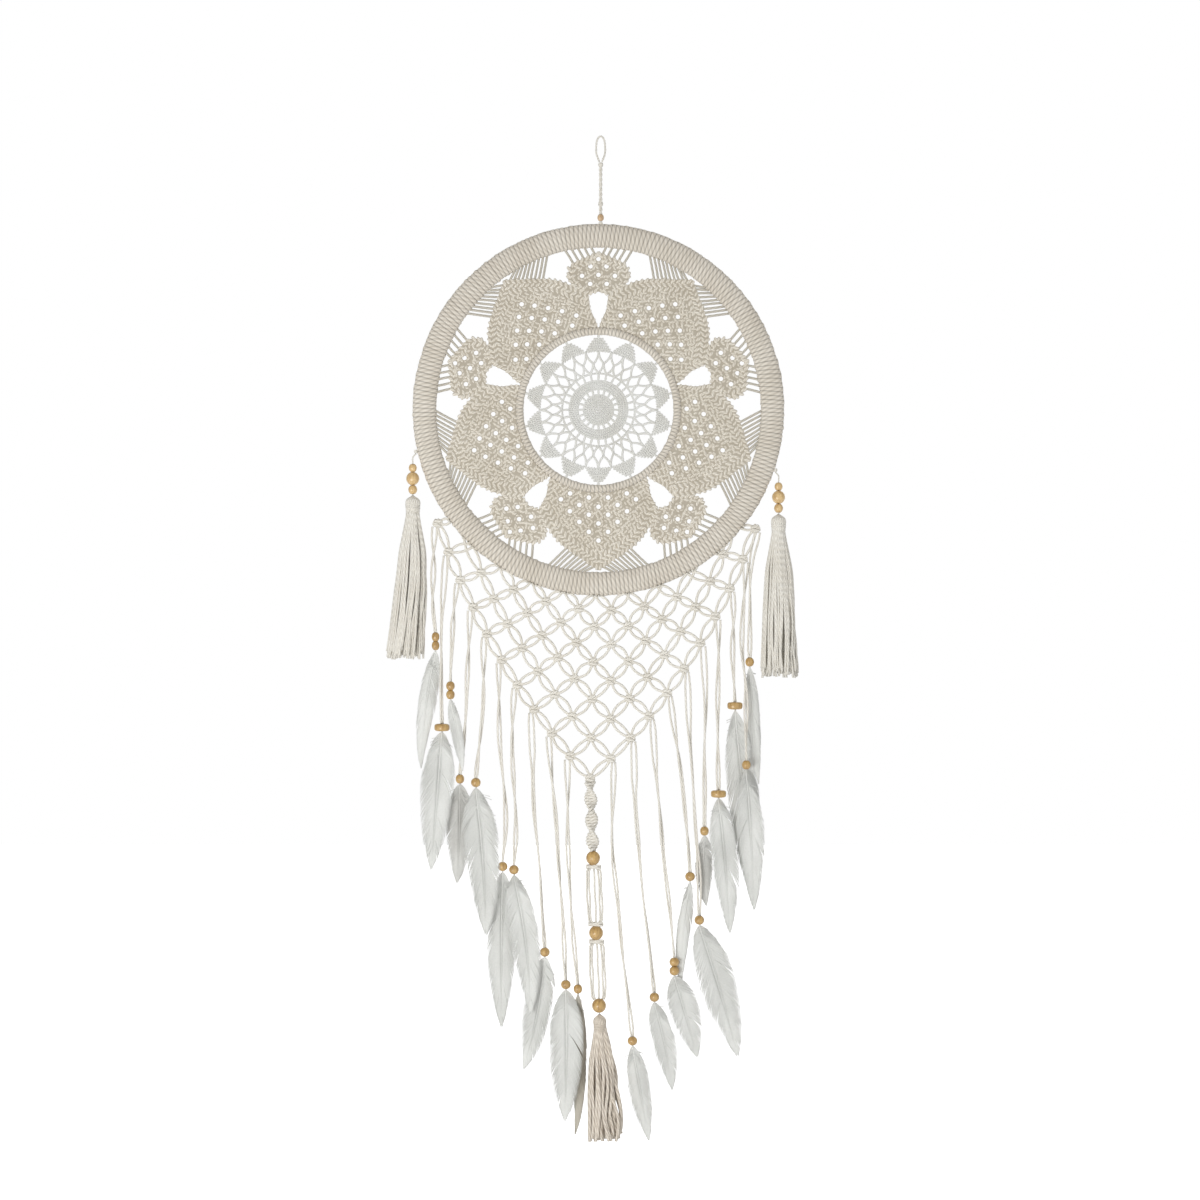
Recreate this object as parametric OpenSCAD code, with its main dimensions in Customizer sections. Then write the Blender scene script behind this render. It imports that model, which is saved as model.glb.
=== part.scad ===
// Macrame dream catcher: a wrapped hoop with petals and a crocheted centre, a V-shaped net of
// square knots, fringe cords with beads and feathers, and tassels. It hangs in the XZ plane from
// the origin, where a nail carries the loop, and its front looks towards -Y.

/* [Hanging cord] */
// Drop from the nail to the top of the hoop
hang_drop = 79; // [70:1:110]
// Thickness of the looped hanging cord
loop_cord_d = 2; // [1.5:0.1:2.5]
// Thickness of the twisted hanging cord
hang_cord_d = 3.2; // [2.4:0.1:4]
// Diameter of the small bead on the hanging cord
hang_bead_d = 6; // [5:0.5:8]
// Sideways place of the hoop's centre under the nail
hoop_x = -2; // [-6:0.5:6]

/* [Hoops] */
// Outer diameter of the wrapped hoop
hoop_d = 340; // [270:1:420]
// Width of the wrapped hoop band, measured outwards
band_w = 22; // [18:0.5:26]
// Thickness of the wrapped hoop band, front to back
band_t = 11; // [9:0.5:13]
// Thickness of the cord wrapping on the wooden hoop
wrap_t = 2; // [1.5:0.1:2.6]
// Clear opening of the inner ring
ring_open_d = 137; // [110:1:165]
// Thickness of the wrapped inner ring
ring_t = 7; // [6:0.5:9]
// Diameter of the wire inside the inner ring
ring_wire_d = 3; // [2:0.25:4]

/* [Petals and doily] */
// Thickness of the knotted petals
petal_t = 5; // [3:0.5:7]
// Diameter of the small holes left between the knots
petal_hole_d = 4.2; // [2:0.2:5]
// Thickness of the spoke cords
spoke_d = 1.6; // [1.2:0.1:2]
// Thickness of the crocheted doily
doily_t = 2; // [1.5:0.1:3]
// Number of star points on the doily
doily_points = 14; // [12:1:16]

/* [Net] */
// Diameter of the square knots
knot_d = 5.6; // [4.8:0.1:6.4]
// Height of the square knots
knot_h = 6; // [5:0.2:7]
// Thickness of the net cords
net_cord_d = 1.8; // [1.4:0.1:2]
// Height of the net from its bottom knot to the hoop's lowest point
net_drop = 166.4; // [150:1:190]

/* [Fringe] */
// Thickness of each fringe strand, a pair of fine cords
strand_d = 3; // [2:0.1:3.4]
// Thickness of the feathers
feather_t = 1.2; // [1:0.1:1.8]

/* [Tassels] */
// Length of each side tassel's skirt
side_skirt_l = 138; // [110:1:170]
// Diameter of a side tassel's skirt at its hem
side_skirt_d = 30; // [24:0.5:32]
// Diameter of the bound head of a side tassel
side_head_d = 13; // [10:0.5:15]
// Diameter of the largest bead of a side tassel
side_bead_d = 12; // [10:0.5:13]
// Length of the centre tassel's skirt
centre_skirt_l = 106; // [85:1:135]
// Diameter of the centre tassel's skirt at its hem
centre_skirt_d = 34; // [28:0.5:36]
// Diameter of the centre beads
centre_bead_d = 13; // [11:0.5:14]
// Bore through the beads
bead_bore_d = 3; // [2:0.2:4]

/* [Hidden] */
petal_count = 5;
LEFT_FEATHERS = [for (i = [1:10]) str("left_feather_", i)];
RIGHT_FEATHERS = [for (i = [1:10]) str("right_feather_", i)];
LARGE_PETALS = [for (i = [1:petal_count]) str("large_petal_", i)];
$fn = 48;

// Running gap between pieces that swing on each other
gap = 0.4;
// Bite of a stitched cord end into what holds it, and of a net cord into the hoop's wrapping
bite = 0.8;
hoop_bite = 0.3;

cotton = "#d2c8b8";
cream = "#e2dbcd";
white_cotton = "#dcdad6";
beige = "#cdbda4";
honey_wood = "#c08a45";
dark_wood = "#9a5f2c";
feather_white = "#e6e6e4";
feather_grey = "#b9b8b6";
wire_steel = "#8d8f92";

hoop_r = hoop_d / 2;
hoop_in = hoop_r - band_w;
hoop_z = -hang_drop - hoop_r;
ring_mid = (ring_open_d + ring_t) / 2;
ring_out = ring_open_d / 2 + ring_t;
gap_scale = hoop_d / 340;

// Places things in the hoop's own frame, with its centre at zero.
module at_hoop() { translate([hoop_x, 0, hoop_z]) children(); }

// Stands a flat outline drawn as X, Z up in the hoop's plane, centred on it.
module upright(t) { rotate([90, 0, 0]) translate([0, 0, -t / 2]) linear_extrude(t) children(); }

// A point at radius r and a clockwise angle from the top.
function polar(r, a) = [r * sin(a), r * cos(a)];

// A straight round rod between two points.
module rod(a, b, d) {
    v = b - a;
    translate(a)
        rotate([0, acos(v[2] / norm(v)), atan2(v[1], v[0])])
            cylinder(d = d, h = norm(v), $fn = 16);
}

// A tube swept along points, its rings square to the route.
function unit(v) = v / norm(v);
function tangent(p, i) = unit(p[min(i + 1, len(p) - 1)] - p[max(i - 1, 0)]);
function ring(c, t, r, n) = let (
    side = unit(cross([0, 1, 0], t)),
    up = cross(t, side)
) [for (k = [0:n - 1]) c + r * (cos(360 * k / n) * side + sin(360 * k / n) * up)];
module tube(p, d, n = 8) {
    points = [for (i = [0:len(p) - 1]) each ring(p[i], tangent(p, i), d / 2, n)];
    walls = [
        for (i = [0:len(p) - 2]) for (k = [0:n - 1]) let (k2 = (k + 1) % n)
        each [
            [i * n + k, (i + 1) * n + k, (i + 1) * n + k2],
            [i * n + k, (i + 1) * n + k2, i * n + k2]
        ]
    ];
    first_cap = [for (k = [0:n - 1]) k];
    last_cap = [for (k = [n - 1:-1:0]) (len(p) - 1) * n + k];
    polyhedron(points, concat([first_cap], walls, [last_cap]));
}

// ---- hanging cord ----
upper_knot_z = -25;
hang_knot_d = 4.8;
lower_knot_z = -0.77 * hang_drop;
tie_knot_d = 3;
tie_z = -hang_drop + tie_knot_d / 2 - bite;
hang_bead_z = tie_z + tie_knot_d / 2 + gap + hang_bead_d / 2;
LOOP_ROUTE = [
    [-1.3, 0, upper_knot_z + hang_knot_d / 2 + gap], [-4, 0, -14], [-3.4, 0, -3],
    [0, 0, loop_cord_d / 2], [3.4, 0, -3], [4, 0, -14],
    [1.3, 0, upper_knot_z + hang_knot_d / 2 + gap]
];

module hanging_loop() { color(cream) tube(LOOP_ROUTE, loop_cord_d); }

module hanging_knots() {
    color(cream)
        for (z = [upper_knot_z, lower_knot_z])
            translate([0, 0, z]) sphere(d = hang_knot_d);
}

// One cord, from inside its upper knot through the lower one to the bead.
module hanging_cord() {
    end = hang_bead_z + hang_bead_d / 2 + gap;
    color(cream) tube([[0, 0, upper_knot_z], [0, 0, lower_knot_z], [0, 0, end]], hang_cord_d);
}

module hanging_bead() {
    color(dark_wood) translate([0, 0, hang_bead_z]) sphere(d = hang_bead_d);
}

// ---- hoops ----
// Cross-section of the band: a flat bar with round edges.
module band_section(w, t) {
    translate([hoop_r - band_w / 2, 0]) {
        square([w - t, t], center = true);
        for (side = [-1, 1]) translate([side * (w - t) / 2, 0]) circle(d = t);
    }
}

module outer_hoop() {
    color(honey_wood)
        at_hoop() rotate([90, 0, 0])
            rotate_extrude($fn = 96) band_section(band_w - 2 * wrap_t, band_t - 2 * wrap_t);
}

module outer_wrap() {
    color(cotton)
        at_hoop() rotate([90, 0, 0])
            rotate_extrude($fn = 96) difference() {
                band_section(band_w, band_t);
                band_section(band_w - 2 * wrap_t, band_t - 2 * wrap_t);
            }
}

module inner_hoop() {
    color(wire_steel)
        at_hoop() rotate([90, 0, 0])
            rotate_extrude($fn = 96) translate([ring_mid, 0]) circle(d = ring_wire_d);
}

module inner_wrap() {
    color(cotton)
        at_hoop() rotate([90, 0, 0])
            rotate_extrude($fn = 96) translate([ring_mid, 0]) difference() {
                circle(d = ring_t);
                circle(d = ring_wire_d);
            }
}

// Knots that tie the hanging cord and the side tassels to the hoop.
module hoop_ties() {
    color(cream) {
        translate([0, 0, tie_z]) sphere(d = tie_knot_d);
        for (s = SIDES) translate([s[1], 0, s[2] + tie_knot_d / 2 + gap]) sphere(d = tie_knot_d);
    }
}

// ---- crocheted doily ----
// Rows of holes as [share of the opening radius, number of holes, hole diameter].
DOILY_HOLES = [[0.22, 20, 2.2], [0.43, 28, 3.6], [0.55, 28, 4.6], [0.69, 28, 5.4]];
doily_r = ring_open_d / 2;
doily_valley = 0.8 * doily_r;

module crochet_doily() {
    step = 360 / doily_points;
    color(white_cotton)
        at_hoop() upright(doily_t) difference() {
            polygon([
                for (i = [0:doily_points - 1])
                each [polar(doily_r, i * step), polar(doily_valley, (i + 0.5) * step)]
            ]);
            for (row = DOILY_HOLES) for (i = [0:row[1] - 1])
                translate(polar(row[0] * doily_r, (i + 0.5) * 360 / row[1])) circle(d = row[2], $fn = 16);
        }
}

// ---- petals ----
// Half outlines as [share of the way from the inner ring to the hoop, degrees off the centre line].
LARGE_HALF = [[0, 35.5], [0.09, 34], [0.22, 31.4], [0.42, 31], [0.54, 24.5], [0.64, 20], [0.74, 14]];
SMALL_HALF = [[0.42, 5], [0.54, 11.5], [0.68, 13.5], [0.83, 10.5]];
large_tip = 0.98;
small_foot = 0.45;
small_tip = 0.945;
// Rows of holes as [share of the way out, number of holes, degrees between holes].
LARGE_HOLES = [[0.07, 4, 12.5], [0.18, 5, 11.4], [0.285, 4, 10.5], [0.39, 3, 9.7], [0.5, 2, 9], [0.605, 1, 0]];
SMALL_HOLES = [[0.55, 2, 7.5], [0.66, 3, 7], [0.77, 2, 6.4], [0.86, 1, 0]];
petal_step = 360 / petal_count;

function across(share) = ring_out + share * (hoop_in - ring_out);
function half_side(half, side) = [for (p = half) polar(across(p[0]), side * p[1])];
function back_to_front(list) = [for (i = [len(list) - 1:-1:0]) list[i]];

module petal_holes(rows) {
    for (row = rows) for (i = [0:row[1] - 1])
        translate(polar(across(row[0]), (i - (row[1] - 1) / 2) * row[2])) circle(d = petal_hole_d, $fn = 16);
}

module large_petal(number) {
    color(cotton)
        at_hoop() rotate([0, 36 + petal_step * (number - 1), 0])
            upright(petal_t) difference() {
                polygon(concat(
                    [[0, ring_mid * 0.8]],
                    half_side(LARGE_HALF, 1),
                    [polar(across(large_tip), 0)],
                    back_to_front(half_side(LARGE_HALF, -1))
                ));
                circle(r = ring_out, $fn = 96);
                petal_holes(LARGE_HOLES);
            }
}

module small_petals() {
    color(cotton)
        for (i = [0:petal_count - 1])
            at_hoop() rotate([0, petal_step * i, 0])
                upright(petal_t) difference() {
                    polygon(concat(
                        [polar(across(small_foot), 0)],
                        half_side(SMALL_HALF, 1),
                        [polar(across(small_tip), 0)],
                        back_to_front(half_side(SMALL_HALF, -1))
                    ));
                    petal_holes(SMALL_HOLES);
                }
}

// Spokes tie both slanting edges of each petal's tip to the hoop:
// [tip share, shoulder share, shoulder degrees, cords a side, first and last degrees on the hoop].
LARGE_SPOKES = [large_tip, 0.74, 14, 9, 4.8, 17.5];
SMALL_SPOKES = [small_tip, 0.83, 10.5, 5, 2.5, 11.7];

module spokes(s, turn) {
    for (side = [-1, 1]) for (i = [0:s[3] - 1]) {
        t = i / (s[3] - 1);
        tip = polar(across(s[0]), 0);
        shoulder = polar(across(s[1]), side * s[2]);
        edge = tip + (shoulder - tip) * (0.14 + 0.8 * t);
        rim = polar(hoop_in, side * (s[4] + (s[5] - s[4]) * t));
        out = unit(rim - edge);
        from = edge - out * bite;
        to = rim + out * bite;
        rotate([0, turn, 0]) rod([from[0], 0, from[1]], [to[0], 0, to[1]], spoke_d);
    }
}

module spoke_cords() {
    color(cream)
        at_hoop() for (i = [0:petal_count - 1]) {
            spokes(LARGE_SPOKES, 36 + petal_step * i);
            spokes(SMALL_SPOKES, petal_step * i);
        }
}

// ---- net ----
net_foot = [-7.8, -hoop_r - net_drop];
net_reach = 10;
// Knot i steps up the left edge and j steps up the right edge.
function knot(i, j) = [
    net_foot[0] - 18.4 * i + 0.45 * i * i + 19.3 * j - 0.42 * j * j,
    net_foot[1] + 20 * i + 0.33 * i * i + (17.3 * j + 0.55 * j * j) * (1 - 0.08 * i)
];
function is_free(i, j) = i <= net_reach && j <= net_reach && norm(knot(i, j)) > hoop_r + knot_d / 2;
function lift(p, y = 0) = [p[0], y, p[1]];

module net_knots() {
    color(cream)
        at_hoop() for (i = [0:net_reach]) for (j = [0:net_reach])
            if (is_free(i, j))
                translate(lift(knot(i, j))) cylinder(d = knot_d, h = knot_h, center = true, $fn = 20);
}

// How far along a line from a the hoop's rim lies, or its nearest place if the line misses it.
function way_to_hoop(a, along) = let (
    middle = -a * along,
    half_chord = sqrt(max(middle * middle - a * a + pow(hoop_r - hoop_bite, 2), 0))
) middle > half_chord ? middle - half_chord : middle + half_chord;

// Two cords side by side from knot a towards knot b, stopping at the hoop where b is behind it.
module cord_pair(a, b, b_free) {
    along = unit(b - a);
    start = knot_d / 2 - bite / 2;
    for (s = [-1, 1]) {
        from = a + s * net_cord_d * 0.62 * [-along[1], along[0]];
        stop = b_free ? norm(b - a) - start : way_to_hoop(from, along);
        if (stop > start + 0.5) rod(lift(from + along * start), lift(from + along * stop), net_cord_d);
    }
}

module net_cords() {
    color(cream)
        at_hoop() for (i = [0:net_reach]) for (j = [0:net_reach])
            if (is_free(i, j)) {
                if (i < net_reach) cord_pair(knot(i, j), knot(i + 1, j), is_free(i + 1, j));
                if (j < net_reach) cord_pair(knot(i, j), knot(i, j + 1), is_free(i, j + 1));
            }
}

// ---- centre drop ----
drop_lean = 2.3;
sennit_l = 63.5;
sennit_d = 11.5;
sennit_crown_h = 1.8;
sennit_crown_r = 0.6;
ladder_l = [49.5, 50.5];
ladder_spread = 6.5;
centre_knot_h = 3;
centre_knot_d = 6;
centre_head_d = 11;
centre_head_h = 10;
neck_l = 3;
neck_d = 2;

sennit_top = -knot_h / 2 - gap;
bead_1_z = sennit_top - sennit_l - centre_bead_d / 2 + 0.3;
knot_1_z = bead_1_z - centre_bead_d / 2 - centre_knot_h / 2;
knot_2_z = knot_1_z - centre_knot_h - ladder_l[0];
bead_2_z = knot_2_z - centre_knot_h / 2 - centre_bead_d / 2;
knot_3_z = bead_2_z - centre_bead_d / 2 - centre_knot_h / 2;
bead_3_z = knot_3_z - centre_knot_h / 2 - ladder_l[1] - centre_bead_d / 2;
centre_tassel_z = bead_3_z - centre_bead_d / 2 - gap;
CENTRE_KNOTS = [knot_1_z, knot_2_z, knot_3_z];

// The centre drop hangs from the net's lowest knot.
module at_drop() {
    at_hoop() translate(lift(net_foot)) rotate([0, -drop_lean, 0]) children();
}

module bored_bead(d) {
    difference() {
        sphere(d = d);
        cylinder(d = bead_bore_d, h = d, center = true, $fn = 24);
    }
}

module centre_sennit() {
    lobe = sennit_l / 6;
    waist = sennit_d / 2 - 2.2;
    color(cream)
        at_drop() translate([0, 0, sennit_top]) rotate_extrude($fn = 32)
            polygon(concat(
                [[0, 0], [sennit_crown_r, 0]],
                [for (i = [0:6]) [i % 2 == 0 ? waist : sennit_d / 2, -max(i * lobe, sennit_crown_h)]],
                [[0, -sennit_l]]
            ));
}

module centre_bead(z) {
    color(honey_wood) at_drop() translate([0, 0, z]) bored_bead(centre_bead_d);
}

module centre_knots() {
    color(cream)
        at_drop() for (z = CENTRE_KNOTS)
            translate([0, 0, z]) cylinder(d = centre_knot_d, h = centre_knot_h, center = true, $fn = 24);
}

// Three strands of a ladder: a straight middle pair and two that bow out.
module ladder(top, bottom) {
    mid = (top + bottom) / 2;
    for (s = [-1, 1])
        tube([[s * 2, 0, top], [s * ladder_spread, 0, mid], [s * 2, 0, bottom]], net_cord_d);
    tube([[0, 0, top], [0, 0, bottom]], net_cord_d);
}

module centre_ladder_cords() {
    color(cream)
        at_drop() {
            ladder(knot_1_z - centre_knot_h / 2, knot_2_z + centre_knot_h / 2);
            ladder(knot_3_z - centre_knot_h / 2, bead_3_z + centre_bead_d / 2 - 0.3);
        }
}

// A bound tassel head under a thin neck, drawn downwards from its pivot.
module tassel_head(d, h) {
    rotate_extrude($fn = 40)
        polygon([
            [0, -gap], [neck_d / 2, -gap], [neck_d / 2, -neck_l], [0.3 * d, -neck_l - 1],
            [0.5 * d, -neck_l - 5], [0.46 * d, -neck_l - h], [0, -neck_l - h]
        ]);
}

// The skirt below a head, widening to its hem.
module tassel_skirt(top_d, hem_d, l) {
    rotate_extrude($fn = 40)
        polygon([[0, 0], [top_d / 2, 0], [0.37 * hem_d, -0.3 * l], [0.5 * hem_d, -l], [0, -l]]);
}

module centre_tassel_head() {
    color(beige) at_drop() translate([0, 0, centre_tassel_z]) tassel_head(centre_head_d, centre_head_h);
}

module centre_tassel_skirt() {
    color(beige)
        at_drop() translate([0, 0, centre_tassel_z - neck_l - centre_head_h])
            tassel_skirt(centre_head_d * 0.92, centre_skirt_d, centre_skirt_l);
}

// ---- side tassels ----
thread_d = 1.6;
side_head_h = 11;
side_small_d = [7.4, 8.2];
thread_l = 9;
// The tassels hang beside the hoop where its rim is this far below its centre: [side, drop].
SIDE_PLACES = [[-1, 40], [1, 57]];
rim_clearance = 1.4;
function rim_x(drop) = sqrt(hoop_r * hoop_r - drop * drop) + rim_clearance;
SIDES = [for (p = SIDE_PLACES) [p[0], hoop_x + p[0] * rim_x(p[1] * gap_scale), hoop_z - p[1] * gap_scale]];

side_bead_1 = -gap - thread_l - side_small_d[0] / 2;
side_bead_2 = side_bead_1 - side_small_d[0] / 2 - side_bead_d / 2;
side_bead_3 = side_bead_2 - side_bead_d / 2 - side_small_d[1] / 2;
side_tassel_z = side_bead_3 - side_small_d[1] / 2 - gap;
// The beads hang this far outwards, so that the thread leans off the hoop's rim.
side_out = 3;

module at_side(k, out = side_out) {
    translate([SIDES[k][1] + SIDES[k][0] * out, 0, SIDES[k][2]]) children();
}

module tassel_thread(k) {
    out = SIDES[k][0] * side_out;
    color(cream)
        at_side(k, 0)
            tube([[0, 0, -gap], [out, 0, -4], [out, 0, side_bead_1 + side_small_d[0] / 2]], thread_d);
}

module tassel_beads(k) {
    color(honey_wood)
        at_side(k) {
            translate([0, 0, side_bead_1]) sphere(d = side_small_d[0]);
            translate([0, 0, side_bead_2]) sphere(d = side_bead_d);
            translate([0, 0, side_bead_3]) sphere(d = side_small_d[1]);
        }
}

module side_tassel_head(k) {
    color(cream) at_side(k) translate([0, 0, side_tassel_z]) tassel_head(side_head_d, side_head_h);
}

module side_tassel_skirt(k) {
    color(cream)
        at_side(k) translate([0, 0, side_tassel_z - neck_l - side_head_h])
            tassel_skirt(side_head_d * 0.92, side_skirt_d, side_skirt_l);
}

// ---- fringe ----
round_bead_h = 8;
disc_bead_d = 14;
disc_bead_h = 7;
quill_gap = 0.8;
// One entry a strand, from the net's bottom outwards. way: places below its knot, as X and Z;
// beads: round ones stacked, or 0 for one wide disc; y: how far forwards (-) the strand ends.
// feather: [lean in X, length, half width, place in Y beside the bead].
LEFT_STRANDS = [
    [[[-1, -114], [3, -164], [7, -209]], 1, 0, [-3, -129, 6, 3]],
    [[[2, -61], [8, -135], [13, -226]], 1, 0, [-1, -120, 14, -3]],
    [[[0, -83], [5, -147], [10, -218]], 1, 0, [-20, -103, 12, 3]],
    [[[-5, -60], [-1, -119], [-3, -165]], 1, 0, [15, -127, 12, -3]],
    [[[-1, -83], [4, -146], [1, -185]], 1, 0, [-1, -143, 12, 3]],
    [[[-3, -52], [-6, -92], [-10, -132]], 1, 0, [9, -135, 14, -3]],
    [[[-5, -66], [-8, -112], [-12, -153]], 1, 0, [-3, -91, 11, 3]],
    [[[-7, -37], [-8, -64], [-9, -93]], 2, 0, [11, -65, 5, -3]],
    [[[-5, -44], [-7, -103], [-6, -157]], 0, 0, [-10, -126, 13.5, -3]],
    [[[-4, -34], [-5, -68], [-2, -100]], 2, 0, [-13, -108, 7, 3]]
];
RIGHT_STRANDS = [
    [[[2, -83], [10, -166], [20, -254]], 1, 0, [15, -87, 9, 3]],
    [[[6, -84], [13, -153], [22, -233]], 1, 0, [16, -80, 9, -3]],
    [[[10, -95], [17, -159], [23, -221]], 2, 0, [21, -74, 12, -3]],
    [[[12, -71], [18, -121], [21, -164]], 1, 0, [-8, -98, 5.5, 3]],
    [[[7, -93], [13, -175], [14, -226]], 1, 0, [35, -120, 14, -3]],
    [[[5, -61], [4, -116], [4, -168]], 1, 0, [2, -64, 7, 3]],
    [[[3, -58], [2, -113], [3, -159]], 0, 0, [10, -123, 13, -3]],
    [[[4, -29], [3, -66], [5, -104]], 0, 0, [17, -177, 15, 3]],
    [[[-0.5, -79], [2.5, -122], [3, -184]], 1, -6, [7, -128, 10.5, -6]],
    [[[-3, -30], [-5, -74], [-5, -118]], 1, 0, [8.5, -107, 6.5, 3]]
];
ROUND_D = [8, 9, 9, 9, 9, 9, 8, 8, 8, 7];
RIGHT_ROUND_D = [9, 9, 9, 9, 9, 8, 8, 8, 8, 8];

function strand_knot(side, n) = side < 0 ? knot(n, 0) : knot(0, n);
function strand_drop(s) = s[1] == 0 ? disc_bead_h : s[1] * round_bead_h;
function strand_end(side, n, s) = strand_knot(side, n) + s[0][len(s[0]) - 1];

module strand(side, n, s) {
    top = strand_knot(side, n);
    ends = len(s[0]) - 1;
    tube(concat(
        [lift(top + [side * knot_d / 2, -knot_h / 2 - gap])],
        [for (i = [0:ends]) lift(top + s[0][i], s[2] * pow((i + 1) / (ends + 1), 2))]
    ), strand_d);
}

// A round bead with flattened ends, or a wide disc, hung below the strand's end.
module strand_bead(side, n, s, d) {
    translate(lift(strand_end(side, n, s), s[2]))
        if (s[1] == 0)
            translate([0, 0, -disc_bead_h]) cylinder(d = disc_bead_d, h = disc_bead_h, $fn = 32);
        else for (i = [0:s[1] - 1])
            translate([0, 0, -(i + 0.5) * round_bead_h]) intersection() {
                sphere(d = d, $fn = 32);
                cube([d + 1, d + 1, round_bead_h], center = true);
            }
}

module fringe_cords(side, strands) {
    color(cream) at_hoop() for (n = [1:len(strands)]) strand(side, n, strands[n - 1]);
}

module fringe_beads(side, strands, sizes) {
    color(honey_wood)
        at_hoop() for (n = [1:len(strands)]) strand_bead(side, n, strands[n - 1], sizes[n - 1]);
}

// Outline of a feather as [share of the length, share of the half width].
VANE = [[0.10, 0.12], [0.22, 0.6], [0.42, 1], [0.62, 0.92], [0.82, 0.6], [0.95, 0.25]];
quill_w = 1.6;

module feather(side, n, s) {
    f = s[3];
    down = unit([f[0], f[1]]);
    out = [-down[1], down[0]];
    reach = norm([f[0], f[1]]);
    function edge(turn) = [for (v = VANE) down * reach * v[0] + turn * out * f[2] * v[1]];
    color(f[3] > 0 ? feather_grey : feather_white)
        at_hoop()
            translate(lift(strand_end(side, n, s) - [0, strand_drop(s) + quill_gap], f[3]))
                upright(feather_t) polygon(concat(
                    [out * -quill_w / 2, out * quill_w / 2],
                    edge(1),
                    [down * reach],
                    back_to_front(edge(-1))
                ));
}

hanging_loop();
hanging_knots();
hanging_cord();
hanging_bead();
hoop_ties();
outer_hoop();
outer_wrap();
inner_hoop();
inner_wrap();
crochet_doily();
for (i = [1:petal_count]) large_petal(i);
small_petals();
spoke_cords();
net_knots();
net_cords();
centre_sennit();
centre_bead(bead_1_z);  // centre_bead_1
centre_bead(bead_2_z);  // centre_bead_2
centre_bead(bead_3_z);  // centre_bead_3
centre_knots();
centre_ladder_cords();
centre_tassel_head();
centre_tassel_skirt();
tassel_thread(0);  // left_tassel_thread
tassel_beads(0);  // left_tassel_beads
side_tassel_head(0);  // left_tassel_head
side_tassel_skirt(0);  // left_tassel_skirt
tassel_thread(1);  // right_tassel_thread
tassel_beads(1);  // right_tassel_beads
side_tassel_head(1);  // right_tassel_head
side_tassel_skirt(1);  // right_tassel_skirt
fringe_cords(-1, LEFT_STRANDS);  // left_fringe_cords
fringe_beads(-1, LEFT_STRANDS, ROUND_D);  // left_fringe_beads
fringe_cords(1, RIGHT_STRANDS);  // right_fringe_cords
fringe_beads(1, RIGHT_STRANDS, RIGHT_ROUND_D);  // right_fringe_beads
for (i = [1:10]) feather(-1, i, LEFT_STRANDS[i - 1]);
for (i = [1:10]) feather(1, i, RIGHT_STRANDS[i - 1]);
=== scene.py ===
"""A wall-hung macrame dream catcher, dressed around its CAD frame. Everything is in metres, with
the nail at the origin, the front towards -Y and the fringe hanging down -Z."""

import math

import bmesh
import bpy
import numpy as np
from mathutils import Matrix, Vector


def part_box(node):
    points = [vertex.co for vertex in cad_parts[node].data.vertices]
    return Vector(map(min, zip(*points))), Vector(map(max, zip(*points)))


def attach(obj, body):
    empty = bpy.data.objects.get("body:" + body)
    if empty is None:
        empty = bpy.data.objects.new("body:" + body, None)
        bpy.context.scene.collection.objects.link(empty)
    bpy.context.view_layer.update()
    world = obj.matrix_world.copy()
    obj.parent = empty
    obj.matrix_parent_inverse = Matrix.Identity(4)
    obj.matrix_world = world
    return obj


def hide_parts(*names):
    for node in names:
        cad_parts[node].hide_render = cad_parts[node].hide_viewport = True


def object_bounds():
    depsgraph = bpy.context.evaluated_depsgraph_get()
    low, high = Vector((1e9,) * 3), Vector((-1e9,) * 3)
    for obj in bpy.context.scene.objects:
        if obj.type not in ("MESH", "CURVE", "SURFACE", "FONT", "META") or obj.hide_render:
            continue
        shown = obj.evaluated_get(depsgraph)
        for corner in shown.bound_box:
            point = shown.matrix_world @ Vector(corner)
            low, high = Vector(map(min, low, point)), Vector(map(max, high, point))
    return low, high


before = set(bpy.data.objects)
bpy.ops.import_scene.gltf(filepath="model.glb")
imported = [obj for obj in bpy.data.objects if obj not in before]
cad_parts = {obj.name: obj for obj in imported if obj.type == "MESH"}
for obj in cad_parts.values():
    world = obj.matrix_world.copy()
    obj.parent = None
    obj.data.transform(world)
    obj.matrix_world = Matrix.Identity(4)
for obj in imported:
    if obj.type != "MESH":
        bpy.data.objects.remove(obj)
cad_box = [list(corner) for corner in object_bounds()]
rng = np.random.default_rng(41)

# ---- Camera ----
# Square on to the front, from far enough away that the hoop looks flat.
hoop_low, hoop_high = (np.array(corner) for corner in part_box("outer_wrap"))
hoop_centre = (hoop_low + hoop_high) / 2
hoop_radius = (hoop_high[0] - hoop_low[0]) / 2
seen_width = 6.45 * hoop_radius
camera_distance = 3.4
camera = bpy.data.objects.new("camera", bpy.data.cameras.new("camera"))
camera.data.sensor_width = 36
camera.data.lens = 36 * camera_distance / seen_width
camera.location = (hoop_centre[0] + 0.0014, -camera_distance, hoop_centre[2] - 0.1737)
camera.rotation_euler = (math.pi / 2, 0, 0)
bpy.context.scene.collection.objects.link(camera)
bpy.context.scene.camera = camera


# ---- Cotton cord ----
# Every cord is soft cotton, spun from plies that turn round each other. Each cord is a tube, and
# its finish draws the plies from the tube's own length and girth.
def unit(v):
    """Vectors scaled to a length of one."""
    return v / np.maximum(np.linalg.norm(v, axis=-1, keepdims=True), 1e-12)


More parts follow.
